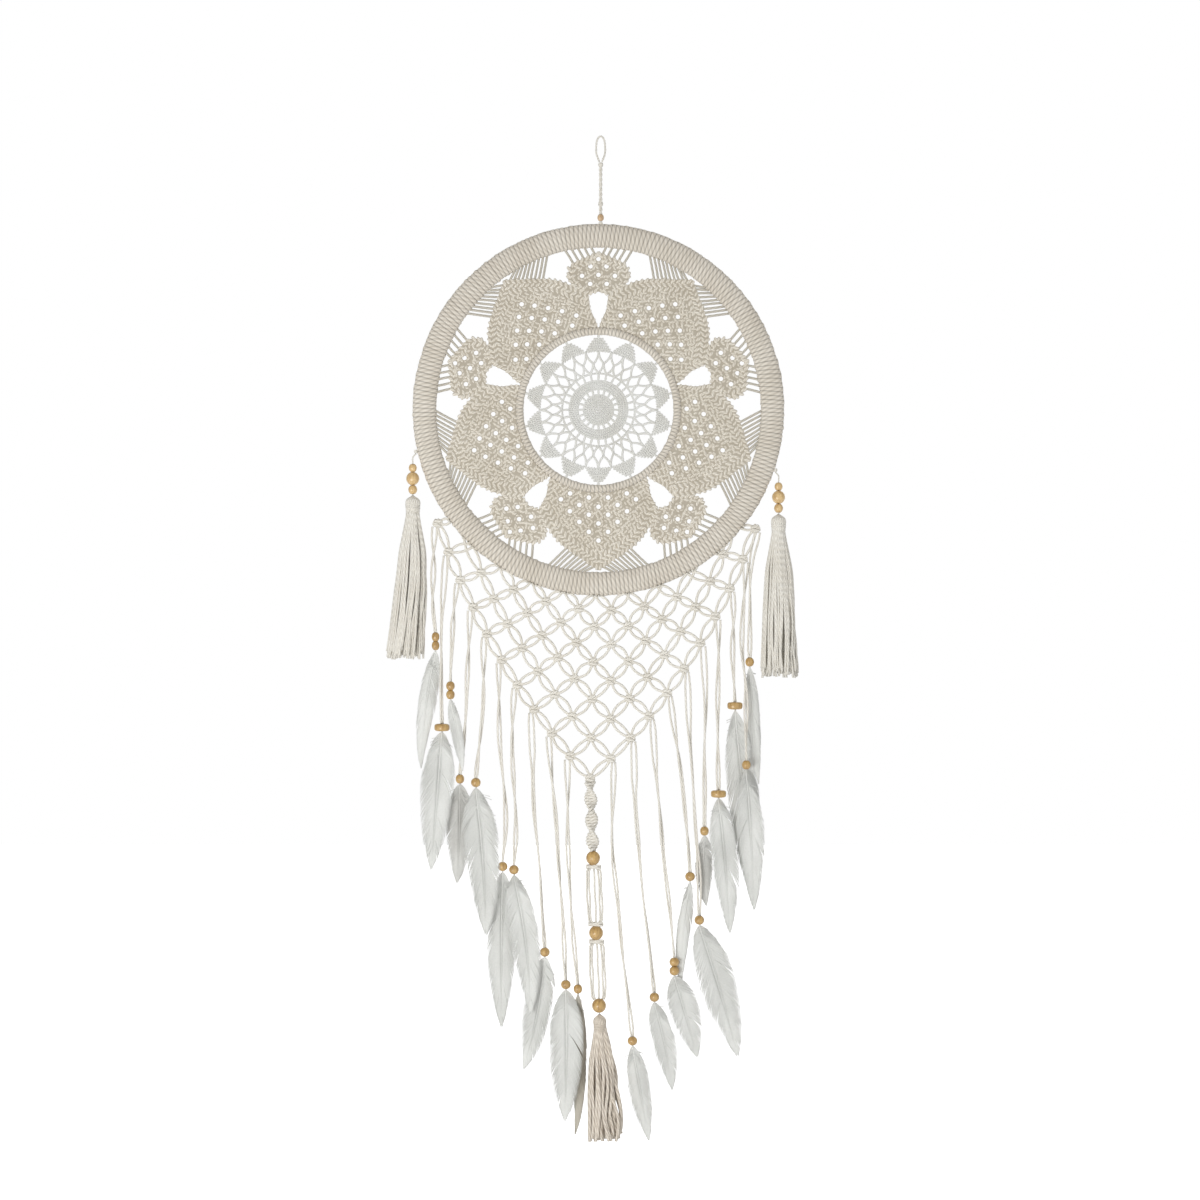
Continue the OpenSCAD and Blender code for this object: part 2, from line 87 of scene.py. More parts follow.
def smooth_path(points, count):
    """A Catmull-Rom curve through the points: each stretch is the cubic whose end slopes are half
    the step between the neighbours. count points are spread evenly along its length."""
    p = np.asarray(points, float)
    p = np.vstack([2 * p[0] - p[1], p, 2 * p[-1] - p[-2]])
    t = np.linspace(0, 1, 24, endpoint=False)[:, None]
    parts = [
        0.5 * (2 * b + (c - a) * t + (2 * a - 5 * b + 4 * c - d) * t**2 + (3 * b - a - 3 * c + d) * t**3)
        for a, b, c, d in zip(p[:-3], p[1:-2], p[2:-1], p[3:])
    ]
    fine = np.vstack(parts + [p[-2:-1]])
    run = np.concatenate([[0], np.cumsum(np.linalg.norm(np.diff(fine, axis=0), axis=1))])
    even = np.linspace(0, run[-1], count)
    return np.column_stack([np.interp(even, run, fine[:, k]) for k in range(3)])


def tubes(paths, radius, sides=8, depth=1.0):
    """Closed round tubes along many paths of equal count. A point of a ring is the path's point
    plus radius * (cos a * side + depth * sin a * up), where side and up stand square to the path.
    The end rings close on the path's ends. Returns points, quads, triangles, and the (girth,
    length) of each corner of the quads and triangles."""
    paths = np.asarray(paths, float)
    many, count, _ = paths.shape
    radius = np.broadcast_to(np.asarray(radius, float), (many, count))
    along = unit(np.gradient(paths, axis=1))
    side = unit(np.cross([0.0, 1.0, 0.02], along))
    up = np.cross(along, side)
    turn = 2 * np.pi * np.arange(sides) / sides
    rings = paths[:, :, None] + radius[..., None, None] * (
        np.cos(turn)[:, None] * side[:, :, None] + depth * np.sin(turn)[:, None] * up[:, :, None]
    )
    size = count * sides
    points = np.concatenate([rings.reshape(many, size, 3), paths[:, [0, -1]]], axis=1)
    k = np.arange(sides)
    i = np.arange(count - 1)[:, None] * sides
    k2 = (k + 1) % sides
    wall = np.stack([i + k, i + k2, i + sides + k2, i + sides + k], axis=-1).reshape(-1, 4)
    last = size - sides
    caps = np.concatenate([
        np.stack([np.full(sides, size), k2, k], axis=-1),
        np.stack([np.full(sides, size + 1), last + k, last + k2], axis=-1),
    ])
    shift = (np.arange(many) * (size + 2))[:, None, None]
    run = np.concatenate(
        [np.zeros((many, 1)), np.cumsum(np.linalg.norm(np.diff(paths, axis=1), axis=2), axis=1)], axis=1
    )
    low, high = run[:, :-1, None], run[:, 1:, None]
    one = np.ones((1, 1, sides))
    girth = np.stack([k / sides, (k + 1) / sides, (k + 1) / sides, k / sides], axis=-1)
    length = np.stack([low * one, low * one, high * one, high * one], axis=-1)
    wall_uv = np.stack([np.broadcast_to(girth, length.shape), length], axis=-1)
    cap_uv = np.zeros((many, 2 * sides, 3, 2))
    cap_uv[..., 0] = 0.5
    cap_uv[:, sides:, :, 1] = run[:, -1, None, None]
    return (
        points.reshape(-1, 3),
        (wall + shift).reshape(-1, 4),
        (caps + shift).reshape(-1, 3),
        wall_uv.reshape(-1, 4, 2),
        cap_uv.reshape(-1, 3, 2),
    )


def joined(*shapes):
    """Several shapes in the form that tubes() returns, as one."""
    start = np.cumsum([0] + [len(s[0]) for s in shapes[:-1]])
    return (
        np.concatenate([s[0] for s in shapes]),
        np.concatenate([s[1] + n for s, n in zip(shapes, start)]),
        np.concatenate([s[2] + n for s, n in zip(shapes, start)]),
        np.concatenate([s[3] for s in shapes]),
        np.concatenate([s[4] for s in shapes]),
    )


def piece(name, shape, finish, body, replaces=()):
    """One object from a shape, smooth, with its girth and length as its UV map."""
    points, quads, triangles, quad_uv, triangle_uv = shape
    mesh = bpy.data.meshes.new(name)
    mesh.vertices.add(len(points))
    mesh.vertices.foreach_set("co", points.astype(np.float32).ravel())
    corners = np.concatenate([quads.ravel(), triangles.ravel()]).astype(np.int32)
    mesh.loops.add(len(corners))
    mesh.loops.foreach_set("vertex_index", corners)
    starts = np.concatenate([4 * np.arange(len(quads)), 4 * len(quads) + 3 * np.arange(len(triangles))])
    mesh.polygons.add(len(starts))
    mesh.polygons.foreach_set("loop_start", starts.astype(np.int32))
    mesh.update(calc_edges=True)
    uv = mesh.uv_layers.new(name="cord")
    flat = np.concatenate([quad_uv.reshape(-1, 2), triangle_uv.reshape(-1, 2)])
    uv.data.foreach_set("uv", flat.astype(np.float32).ravel())
    mesh.shade_smooth()
    mesh.materials.append(finish)
    obj = bpy.data.objects.new(name, mesh)
    bpy.context.scene.collection.objects.link(obj)
    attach(obj, body)
    if replaces:
        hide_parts(*replaces)
    return obj


class Finish:
    """A material whose nodes are added one after another and joined by name."""

    def __init__(self, name, rough, sheen=0.0, coat=0.0):
        self.material = bpy.data.materials.new(name)
        self.material.use_nodes = True
        self.nodes = self.material.node_tree.nodes
        self.links = self.material.node_tree.links
        self.shader = self.nodes["Principled BSDF"]
        self.shader.inputs["Roughness"].default_value = rough
        self.shader.inputs["Sheen Weight"].default_value = sheen
        self.shader.inputs["Sheen Roughness"].default_value = 0.6
        self.shader.inputs["Coat Weight"].default_value = coat
        self.shader.inputs["Coat Roughness"].default_value = 0.2

    def join(self, source, target):
        """Feeds a socket or sets a plain value."""
        if isinstance(source, bpy.types.NodeSocket):
            self.links.new(source, target)
        else:
            target.default_value = source

    def sum(self, kind, first, second=0.5, third=0.5):
        """One math node."""
        node = self.nodes.new("ShaderNodeMath")
        node.operation = kind
        for value, target in zip((first, second, third), node.inputs):
            self.join(value, target)
        return node.outputs[0]

    def noise(self, scale, detail=3.0, stretch=(1, 1, 1), rough=0.55):
        """Noise on the object's own coordinates, stretched along an axis where asked."""
        place = self.nodes.new("ShaderNodeMapping")
        place.inputs["Scale"].default_value = stretch
        self.links.new(self.nodes.new("ShaderNodeTexCoord").outputs["Object"], place.inputs["Vector"])
        node = self.nodes.new("ShaderNodeTexNoise")
        node.inputs["Scale"].default_value = scale
        node.inputs["Detail"].default_value = detail
        node.inputs["Roughness"].default_value = rough
        self.links.new(place.outputs[0], node.inputs["Vector"])
        return node.outputs["Fac"]

    def girth_and_length(self):
        """The cord's own coordinates: turns round it, and metres along it."""
        uv = self.nodes.new("ShaderNodeUVMap")
        uv.uv_map = "cord"
        split = self.nodes.new("ShaderNodeSeparateXYZ")
        self.links.new(uv.outputs[0], split.inputs[0])
        return split.outputs["X"], split.outputs["Y"]

    def ramp(self, value, *stops):
        """A colour ramp; each stop is a place and a colour."""
        node = self.nodes.new("ShaderNodeValToRGB")
        while len(node.color_ramp.elements) < len(stops):
            node.color_ramp.elements.new(0.5)
        for element, (place, colour) in zip(node.color_ramp.elements, stops):
            element.position = place
            element.color = (*colour, 1)
        self.links.new(value, node.inputs[0])
        return node.outputs["Color"]

    def mix(self, share, first, second, kind="MIX"):
        """One colour mixed into another by a share."""
        node = self.nodes.new("ShaderNodeMix")
        node.data_type = "RGBA"
        node.blend_type = kind
        for value, target in zip((share, first, second), (node.inputs[0], node.inputs[6], node.inputs[7])):
            self.join(value if not isinstance(value, tuple) else (*value, 1), target)
        return node.outputs[2]

    def bump(self, height, depth, under=None):
        """A bump of that height, in metres, on top of another where given."""
        node = self.nodes.new("ShaderNodeBump")
        node.inputs["Strength"].default_value = 1.0
        node.inputs["Distance"].default_value = depth
        self.links.new(height, node.inputs["Height"])
        if under is not None:
            self.links.new(under, node.inputs["Normal"])
        return node.outputs[0]

    def done(self, colour, normal=None):
        """Joins the colour and the bump to the shader."""
        self.links.new(colour, self.shader.inputs["Base Color"])
        if normal is not None:
            self.links.new(normal, self.shader.inputs["Normal"])
        return self.material


def cotton(name, light, shade, ply_length=0.006, depth=0.00022, seam_shade=0.0):
    """Spun cotton: a sine of 3 * turns + length / ply_length gives the plies, a fine noise the
    loose fibres, and a broad noise the uneven cream of undyed yarn. The sine also paints the
    plies' grooves towards the shade colour: painted shade. On a winding, the last argument sets
    how dark the painted shade is on the lines where |sin(3 pi turns)| falls to zero, which is
    where one turn meets the next."""
    f = Finish(name, rough=0.95, sheen=0.08)
    girth, length = f.girth_and_length()
    phase = f.sum("MULTIPLY_ADD", girth, 3.0, f.sum("DIVIDE", length, ply_length))
    ply = f.sum("MULTIPLY_ADD", f.sum("SINE", f.sum("MULTIPLY", phase, 2 * math.pi)), 0.5, 0.5)
    fibre = f.noise(2600, 2)
    blend = f.sum("MULTIPLY_ADD", fibre, 0.5, f.sum("MULTIPLY", ply, 0.55))
    between = tuple(0.35 * s + 0.65 * c for s, c in zip(shade, light))
    # Painted shade: the plies' grooves are darkened towards the shade colour. The fibre noise adds random tone.
    colour = f.ramp(blend, (0.05, shade), (0.5, between), (0.85, light))
    uneven = f.ramp(f.noise(38, 3), (0.3, (0.90, 0.885, 0.86)), (0.7, (1.0, 1.0, 1.0)))
    colour = f.mix(1.0, colour, uneven, "MULTIPLY")
    # Painted shade on the seams where one turn of a winding meets the next.
    if seam_shade:
        meeting = f.sum("ABSOLUTE", f.sum("SINE", f.sum("MULTIPLY", girth, 3 * math.pi)))
        lines = f.ramp(meeting, (0.0, (1 - seam_shade,) * 3), (0.6, (1.0, 1.0, 1.0)))
        colour = f.mix(1.0, colour, lines, "MULTIPLY")
    normal = f.bump(fibre, 0.00006, f.bump(ply, depth))
    return f.done(colour, normal)


cream_cotton = cotton("cream_cotton", (0.86, 0.84, 0.78), (0.58, 0.545, 0.475))


# ---- Hanging loop and cord ----
# A thin cord looped over the nail and knotted, then two plies twisted down to a second knot, the
# small bead and the tie on the hoop.
MM = 0.001
loop_cord_d = 2.0 * MM
hang_cord_d = 3.2 * MM
hang_knot_d = 4.8 * MM
upper_knot_z = -25 * MM
lower_knot_z = -60.83 * MM
loop_end_z = upper_knot_z + hang_knot_d / 2 + 0.4 * MM


def run_of(path):
    """The length of a path."""
    return float(np.linalg.norm(np.diff(path, axis=0), axis=1).sum())


def twisted(path, offset, turns, radius, sides=6, start=0.0):
    """Two plies laid round a path: each is the path plus offset * (cos a, sin a) across it, where a
    grows by turns whole turns from end to end. The offset may change along the path."""
    along = unit(np.gradient(path, axis=0))
    side = unit(np.cross([0.0, 1.0, 0.02], along))
    up = np.cross(along, side)
    share = np.linspace(0, 1, len(path))
    offset = np.broadcast_to(offset, share.shape)[:, None]
    laid = []
    for ply in range(2):
        turn = start + 2 * np.pi * (turns * share + ply / 2)[:, None]
        laid.append(path + offset * (np.cos(turn) * side + np.sin(turn) * up))
    return tubes(laid, radius, sides)


def bound_knot(centre, radius, height, cord_r, lean):
    """A knot as a short upright coil of three turns, bulging in the middle. Its radius is
    radius * (0.72 + 0.28 sin) along its height, and it leans as a knotted cord does."""
    share = np.linspace(0, 1, 36)
    turn = 2 * np.pi * 3 * share
    out = (radius - cord_r) * (0.72 + 0.28 * np.sin(np.pi * share))
    z = (share - 0.5) * (height - 2 * cord_r) + lean * np.sin(turn) * out
    axis = np.array([0.0, 0.0, 1.0])
    side = unit(np.cross(axis, [0.1, 1.0, 0.0]))
    front = np.cross(axis, side)
    line = np.asarray(centre) + (out * np.cos(turn))[:, None] * side
    line = line + (out * np.sin(turn))[:, None] * front + z[:, None] * axis
    core = np.asarray(centre) + np.array([[-0.5], [0.0], [0.5]]) * (height - cord_r) * axis
    return joined(tubes([line], cord_r, 6), tubes([core], 0.62 * radius, 8))


loop_end = loop_end_z / MM
loop_route = MM * np.array([
    [-1.3, 0, loop_end], [-4, 0, -14], [-3.4, 0, -3], [0, 0, 1], [3.4, 0, -3], [4, 0, -14],
    [1.3, 0, loop_end],
])
loop_line = smooth_path(loop_route, 40)
loop = piece(
    "hanging_loop_cord", twisted(loop_line, loop_cord_d * 0.2, 9, loop_cord_d * 0.31),
    cream_cotton, "loop", ["hanging_loop"],
)
run_of(loop_line)

bead_low, bead_high = (np.array(corner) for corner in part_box("hanging_bead"))
cord_line = smooth_path([[0, 0, upper_knot_z], [0, 0, lower_knot_z], [0, 0, bead_high[2]]], 60)
both_knots = [
    bound_knot((0, 0, z), hang_knot_d / 2, hang_knot_d, 0.9 * MM, lean)
    for z, lean in ((upper_knot_z, 0.35), (lower_knot_z, -0.35))
]
hang_knots = piece(
    "hanging_cord_knots", joined(*both_knots), cream_cotton, "cord", ["hanging_knots"]
)
hanging_cord = piece(
    "twisted_hanging_cord", twisted(cord_line, hang_cord_d * 0.25, 5, hang_cord_d * 0.27, 8),
    cream_cotton, "cord", ["hanging_cord"],
)
run_of(cord_line)


# ---- Fringe strands ----
# Pairs of fine cotton cords that hang from the knots along both slanting edges of the net. Each
# pair parts a little below its knot, turns loosely and ends knotted inside its bead.
def at_hoop(points, y=0.0):
    """Places across and up from the hoop's centre, and how far back, in millimetres, as points."""
    x, z = np.moveaxis(np.asarray(points, float) * MM, -1, 0)
    return np.stack([hoop_centre[0] + x, y * MM + 0 * x, hoop_centre[2] + z], axis=-1)


hoop_r = hoop_radius / MM
net_foot = np.array([-7.8, -hoop_r - 166.4])
knot_w = 5.6
knot_h = 6.0


def net_knot(i, j):
    """A knot of the net, i steps up its left edge and j up its right edge; both edges curve
    outwards and the rows close up towards the hoop."""
    rise = 20 * i + 0.33 * i * i + (17.3 * j + 0.55 * j * j) * (1 - 0.08 * i)
    return net_foot + np.array([-18.4 * i + 0.45 * i * i + 19.3 * j - 0.42 * j * j, rise])


round_bead_h = 8.0
disc_bead_h = 7.0
# One strand a line, from the net's foot outwards: places below its knot, its beads (0 is one wide
# disc), how far back it ends, then its feather's run sideways and down, half width and depth.
left_strands = [
    ([(-1, -114), (3, -164), (7, -209)], 1, 0, (-3, -129, 6, 3)),
    ([(2, -61), (8, -135), (13, -226)], 1, 0, (-1, -120, 14, -3)),
    ([(0, -83), (5, -147), (10, -218)], 1, 0, (-20, -103, 12, 3)),
    ([(-5, -60), (-1, -119), (-3, -165)], 1, 0, (15, -127, 12, -3)),
    ([(-1, -83), (4, -146), (1, -185)], 1, 0, (-1, -143, 12, 3)),
    ([(-3, -52), (-6, -92), (-10, -132)], 1, 0, (9, -135, 14, -3)),
    ([(-5, -66), (-8, -112), (-12, -153)], 1, 0, (-3, -91, 11, 3)),
    ([(-7, -37), (-8, -64), (-9, -93)], 2, 0, (11, -65, 5, -3)),
    ([(-5, -44), (-7, -103), (-6, -157)], 0, 0, (-10, -126, 13.5, -3)),
    ([(-4, -34), (-5, -68), (-2, -100)], 2, 0, (-13, -108, 7, 3)),
]
right_strands = [
    ([(2, -83), (10, -166), (20, -254)], 1, 0, (15, -87, 9, 3)),
    ([(6, -84), (13, -153), (22, -233)], 1, 0, (16, -80, 9, -3)),
    ([(10, -95), (17, -159), (23, -221)], 2, 0, (21, -74, 12, -3)),
    ([(12, -71), (18, -121), (21, -164)], 1, 0, (-8, -98, 5.5, 3)),
    ([(7, -93), (13, -175), (14, -226)], 1, 0, (35, -120, 14, -3)),
    ([(5, -61), (4, -116), (4, -168)], 1, 0, (2, -64, 7, 3)),
    ([(3, -58), (2, -113), (3, -159)], 0, 0, (10, -123, 13, -3)),
    ([(4, -29), (3, -66), (5, -104)], 0, 0, (17, -177, 15, 3)),
    ([(-0.5, -79), (2.5, -122), (3, -184)], 1, -6, (7, -128, 10.5, -6)),
    ([(-3, -30), (-5, -74), (-5, -118)], 1, 0, (8.5, -107, 6.5, 3)),
]
left_bead_d = [8, 9, 9, 9, 9, 9, 8, 8, 8, 7]
right_bead_d = [9, 9, 9, 9, 9, 8, 8, 8, 8, 8]


def knot_above(side, number):
    """The net's edge knot that a strand hangs from."""
    return net_knot(number, 0) if side < 0 else net_knot(0, number)


def strand_route(side, number, places, end_y):
    """A strand's route: beside its knot, then its own places, easing forwards to its end."""
    top = knot_above(side, number)
    start = at_hoop(top + [side * knot_w / 2, -knot_h / 2 - 0.4])
    steps = [at_hoop(top + p, end_y * ((k + 1) / len(places)) ** 2) for k, p in enumerate(places)]
    return np.vstack([start, *steps])


def closed_grid(points, uv):
    """A surface whose grid closes both ways, as on a ring. uv has one more row and one more column
    than points. The faces are turned outwards by the sign of the volume that they close."""
    rows, columns, _ = points.shape
    i, j = np.meshgrid(np.arange(rows), np.arange(columns), indexing="ij")
    i2, j2 = (i + 1) % rows, (j + 1) % columns
    corners = [i * columns + j, i2 * columns + j, i2 * columns + j2, i * columns + j2]
    quads = np.stack(corners, axis=-1).reshape(-1, 4)
    quad_uv = np.stack([uv[:-1, :-1], uv[1:, :-1], uv[1:, 1:], uv[:-1, 1:]], axis=2).reshape(-1, 4, 2)
    flat = points.reshape(-1, 3)
    a, b, c, d = (flat[quads[:, k]] for k in range(4))
    if np.sum(a * np.cross(b, c)) + np.sum(a * np.cross(c, d)) < 0:
        quads, quad_uv = quads[:, ::-1], quad_uv[:, ::-1]
    return flat, quads, np.zeros((0, 3), int), quad_uv, np.zeros((0, 3, 2))


bead_bore = 1.5


def bored_bead(centre, radius, half, squareness=1.0, steps=28):
    """A turned bead: its outer profile is radius * sin(a)^s out and half * cos(a)^s up, with a
    plain bore. A low s squares the profile into a disc."""
    start = math.asin(min((bead_bore + 0.35) * MM / radius, 0.9) ** (1 / squareness))
    a = np.linspace(start, math.pi - start, 15)
    up = np.sign(np.cos(a)) * np.abs(np.cos(a)) ** squareness
    outer = np.column_stack([radius * np.sin(a) ** squareness, half * up / up[0]])
    bore = np.column_stack([np.full(3, bead_bore * MM), 0.93 * half * np.array([-1, 0, 1])])
    profile = np.vstack([outer, bore])
    turn = 2 * np.pi * np.arange(steps)[:, None] / steps
    out, z = profile[:, 0], profile[:, 1]
    points = np.stack([out * np.cos(turn), out * np.sin(turn), z + 0 * turn], axis=-1) + np.asarray(centre)
    girth, length = np.arange(steps + 1) / steps, np.arange(len(profile) + 1) * MM
    uv = np.stack(np.meshgrid(girth, length, indexing="ij"), axis=-1)
    return closed_grid(points, uv)


def bead_wood(name, light, dark, grain=420):
    """Pale turned wood under satin varnish: stretched noise for the grain, broken by fine pores."""
    f = Finish(name, rough=0.42, coat=0.35)
    fibre = f.noise(grain, 4, (1, 1, 0.22))
    pores = f.noise(grain * 6, 2, (1, 1, 0.12))
    blend = f.sum("MULTIPLY_ADD", pores, 0.3, f.sum("MULTIPLY", fibre, 0.75))
    colour = f.ramp(blend, (0.34, dark), (0.62, light), (0.8, tuple(min(1, 1.2 * c) for c in light)))
    return f.done(colour, f.bump(pores, 0.00004))


honey_wood = bead_wood("honey_wood", (0.52, 0.335, 0.115), (0.29, 0.155, 0.045))
pale_wood = bead_wood("pale_wood", (0.66, 0.47, 0.22), (0.44, 0.26, 0.095))
dark_wood = bead_wood("dark_wood", (0.60, 0.42, 0.24), (0.36, 0.21, 0.10))

strand_ply_r = 1.0 * MM
disc_bead_d = 14.0
for side, name, strands, widths in (
    (-1, "left", left_strands, left_bead_d),
    (1, "right", right_strands, right_bead_d),
):
    for number, (places, beads, end_y, _) in enumerate(strands, 1):
        route = strand_route(side, number, places, end_y)
        path = smooth_path(route, 70)
        length = run_of(path)
        s = np.linspace(0, length, 70) / MM
        # The two cords part most about 22 mm down, and close again on the bead.
        parting = 0.7 * np.sin(s / rng.uniform(16, 26) + rng.uniform(0, 6)) ** 2
        gap = 0.8 + 1.6 * np.exp(-(((s - 22) / 22) ** 2)) + parting
        gap = np.minimum(gap, np.minimum(0.75 + 0.1 * np.maximum(s[-1] - s, 0), 2.3))
        wander = rng.uniform(0, 6, 2)
        sway = np.column_stack([np.sin(s / 17 + wander[0]), 0.6 * np.sin(s / 23 + wander[1]), 0 * s])
        sway *= (0.5 * MM * np.sin(np.pi * s / s[-1]))[:, None]
        turns = rng.uniform(0.4, 1.3) * rng.choice([-1, 1])
        laid = twisted(path + sway, gap * MM, turns, strand_ply_r, 7, rng.uniform(-0.4, 0.4))
        strand = piece(
            f"{name}_fringe_strand_{number}", laid, cream_cotton, f"{name}_fringe",
            [f"{name}_fringe_cords"],
        )
        end = route[-1]
        wide, high, squareness = widths[number - 1], round_bead_h, 0.97
        if beads == 0:
            wide, high, squareness = disc_bead_d, disc_bead_h, 0.5
        shape = joined(*[
            bored_bead(end - [0, 0, (k + 0.5) * high * MM], wide / 2 * MM, high / 2 * MM, squareness)
            for k in range(max(beads, 1))
        ])
        bead = piece(
            f"{name}_fringe_bead_{number}", shape, honey_wood, f"{name}_fringe",
            [f"{name}_fringe_beads"],
        )


# ---- Side threads and beads ----
# Short cords knotted to the hoop's rim, each threaded through three turned beads above a tassel.
thread_d = 1.6 * MM
side_bead_d = [7.4, 12, 8.2]
threads = {}
for side, name in ((-1, "left"), (1, "right")):
    low, high = (np.array(corner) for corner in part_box(f"{name}_tassel_beads"))
    top = np.array(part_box(f"{name}_tassel_thread")[1])[2]
    hang_x = (low[0] + high[0]) / 2
    rim_x = hang_x - side * 3 * MM
    turns_down = top - 3.6 * MM
    route = [[rim_x, 0, top]] + [[hang_x, 0, z] for z in (turns_down, high[2], low[2] - 2 * MM)]
    path = smooth_path(route, 30)
    thread = piece(
        f"{name}_tassel_cord", twisted(path, thread_d * 0.22, 9, thread_d * 0.3), cream_cotton,
        f"{name}_drop", [f"{name}_tassel_thread"],
    )
    z = high[2]
    shapes = []
    for d in side_bead_d:
        shapes.append(bored_bead((hang_x, 0, z - d / 2 * MM), d / 2 * MM, 0.49 * d * MM))
        z -= d * MM
    beads = piece(
        f"{name}_tassel_turned_beads", joined(*shapes), pale_wood, f"{name}_drop",
        [f"{name}_tassel_beads"],
    )
    run_of(path)

bead_size = bead_high - bead_low
small_bead = bored_bead((bead_low + bead_high) / 2, bead_size[0] / 2, 0.48 * bead_size[2])
piece("hanging_turned_bead", small_bead, dark_wood, "bead", ["hanging_bead"])


# ---- Outer hoop ----
# A flat wooden hoop wound edge to edge with soft greige cord, about 260 turns. The cord leans as
# it goes round, bulges between its neighbours and scallops the rim.
greige_cotton = cotton("greige_cotton", (0.84, 0.80, 0.72), (0.52, 0.475, 0.39))
# The winding's seams between turns get painted shade, half dark.
winding_cotton = cotton(
    "winding_cotton", (0.75, 0.705, 0.625), (0.49, 0.44, 0.37), depth=0.0001, seam_shade=0.5
)
band_w = 22.0
band_t = 11.0
outer_turns = 262


def wound_ring(mid_r, width, thick, turns, cord_bulge, lean, steps=6, around=40):
    """A ring wound with cord. Its section is a flat bar with round edges, grown by a bulge of
    sqrt(1 - x^2), where x runs from -1 to 1 across each turn of the cord. x also grows with the
    place across the bar, so that the turns lean, and every third turn stands a little proud."""
    turn = 2 * np.pi * np.arange(turns * steps) / (turns * steps)
    half = (width - thick) / 2
    a = 2 * np.pi * np.arange(around) / around
    edge = np.abs(np.cos(a)) ** 0.8 * np.sign(np.cos(a))
    flat_r, flat_y = half * edge + thick / 2 * np.cos(a), thick / 2 * np.sin(a)
    normal = np.stack([np.cos(a), np.sin(a)])
    wave = lean * (0.4 + 0.5 * np.sin(5 * turn + 0.8) + 0.6 * np.sin(13 * turn + 2.1))
    slant = wave[:, None] * flat_r / (width / 2) * np.sign(np.sin(a))
    phase = turns * turn[:, None] / (2 * np.pi) + slant + 0.16 * np.sin(11 * turn)[:, None]
    x = 2 * (phase - np.floor(phase)) - 1
    number = np.floor(phase).astype(int) % turns
    size = (0.6 * np.cos(2 * np.pi * np.arange(turns) / 3) + rng.uniform(-0.7, 0.7, turns))[number]
    bulge = cord_bulge * (np.sqrt(np.maximum(1 - (0.96 * x) ** 2, 0)) - 0.75 + 0.3 * size)
    r = mid_r + flat_r + bulge * normal[0]
    y = flat_y + bulge * normal[1]
    places = np.stack([r * np.sin(turn)[:, None], y, r * np.cos(turn)[:, None]], axis=-1)
    points = places * MM + hoop_centre
    run = np.linspace(0, 2 * (width + thick) * 0.86, around + 1)
    girth = np.vstack([phase, phase[:1] + turns])
    girth = np.hstack([girth, girth[:, :1]])
    return closed_grid(points, np.stack([girth / 3, run * MM + 0 * girth], axis=-1))


outer_winding = wound_ring(hoop_r - band_w / 2, band_w - 0.6, band_t - 0.4, outer_turns, 1.1, 0.34)
piece("outer_hoop_winding", outer_winding, winding_cotton, "hoop", ["outer_wrap"])
hoop_wood = bead_wood("hoop_wood", (0.60, 0.44, 0.27), (0.42, 0.28, 0.15), 90)
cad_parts["outer_hoop"].data.materials.clear()
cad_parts["outer_hoop"].data.materials.append(hoop_wood)


# ---- Inner ring ----
# A steel wire ring wound with the same cord; the petals are knotted on from here.
ring_low, ring_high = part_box("inner_wrap")
ring_t = (ring_high[1] - ring_low[1]) / MM
ring_out = (ring_high[0] - ring_low[0]) / 2 / MM
inner_turns = 138
inner_winding = wound_ring(ring_out - ring_t / 2, ring_t, ring_t - 0.3, inner_turns, 0.6, 0.3, around=20)
piece("inner_ring_winding", inner_winding, winding_cotton, "hoop", ["inner_wrap"])
wire = Finish("wire_steel", rough=0.35)
wire.shader.inputs["Metallic"].default_value = 1.0
drawn = wire.noise(700, 3, (1, 1, 0.1))
steel = wire.ramp(drawn, (0.3, (0.42, 0.42, 0.43)), (0.7, (0.62, 0.62, 0.63)))
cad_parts["inner_hoop"].data.materials.clear()
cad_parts["inner_hoop"].data.materials.append(wire.done(steel, wire.bump(drawn, 0.00002)))


# ---- Petals ----
# Five large and five small petals knotted from the same cord. Two or three rows of slanting
# hitches edge each tip. A lattice of small holes is left open between the other stitches.
def lumps(places, directions, length, radius, depth=1.0, sides=7):
    """Short fat stitches of cord: ellipsoids with blunt ends, whose radius is
    (1 - |s|^2.6)^(1/2.6) along the length, s from -1 to 1."""
    s = np.array([-0.97, -0.78, 0.0, 0.78, 0.97])
    swell = (1 - np.abs(s) ** 2.6) ** (1 / 2.6)
    places, directions = np.asarray(places, float), unit(np.asarray(directions, float))
    length = np.broadcast_to(length, len(places))[:, None, None]
    radius = np.broadcast_to(radius, len(places))[:, None]
    paths = places[:, None] + directions[:, None] * s[None, :, None] * length / 2
    return tubes(paths, radius * swell, sides, depth)


def upright(angle):
    """Unit vectors in the hoop's plane at clockwise angles from straight up, in degrees."""
    a = np.radians(angle)
    return np.stack([np.sin(a), 0 * a, np.cos(a)], axis=-1)


def polar(r, angle):
    """Places in the hoop's plane at clockwise angles from the top, in degrees."""
    a = np.radians(angle)
    return np.stack([r * np.sin(a), r * np.cos(a)], axis=-1)


def turned(xz, angle):
    """Plane places turned clockwise about the hoop's centre, in degrees."""
    a = np.radians(angle)
    x, z = xz[..., 0], xz[..., 1]
    return np.stack([x * np.cos(a) + z * np.sin(a), z * np.cos(a) - x * np.sin(a)], axis=-1)


def across(share):
    """A radius that share of the way from the inner ring to the outer hoop's band."""
    return ring_out + share * (hoop_r - band_w - ring_out)


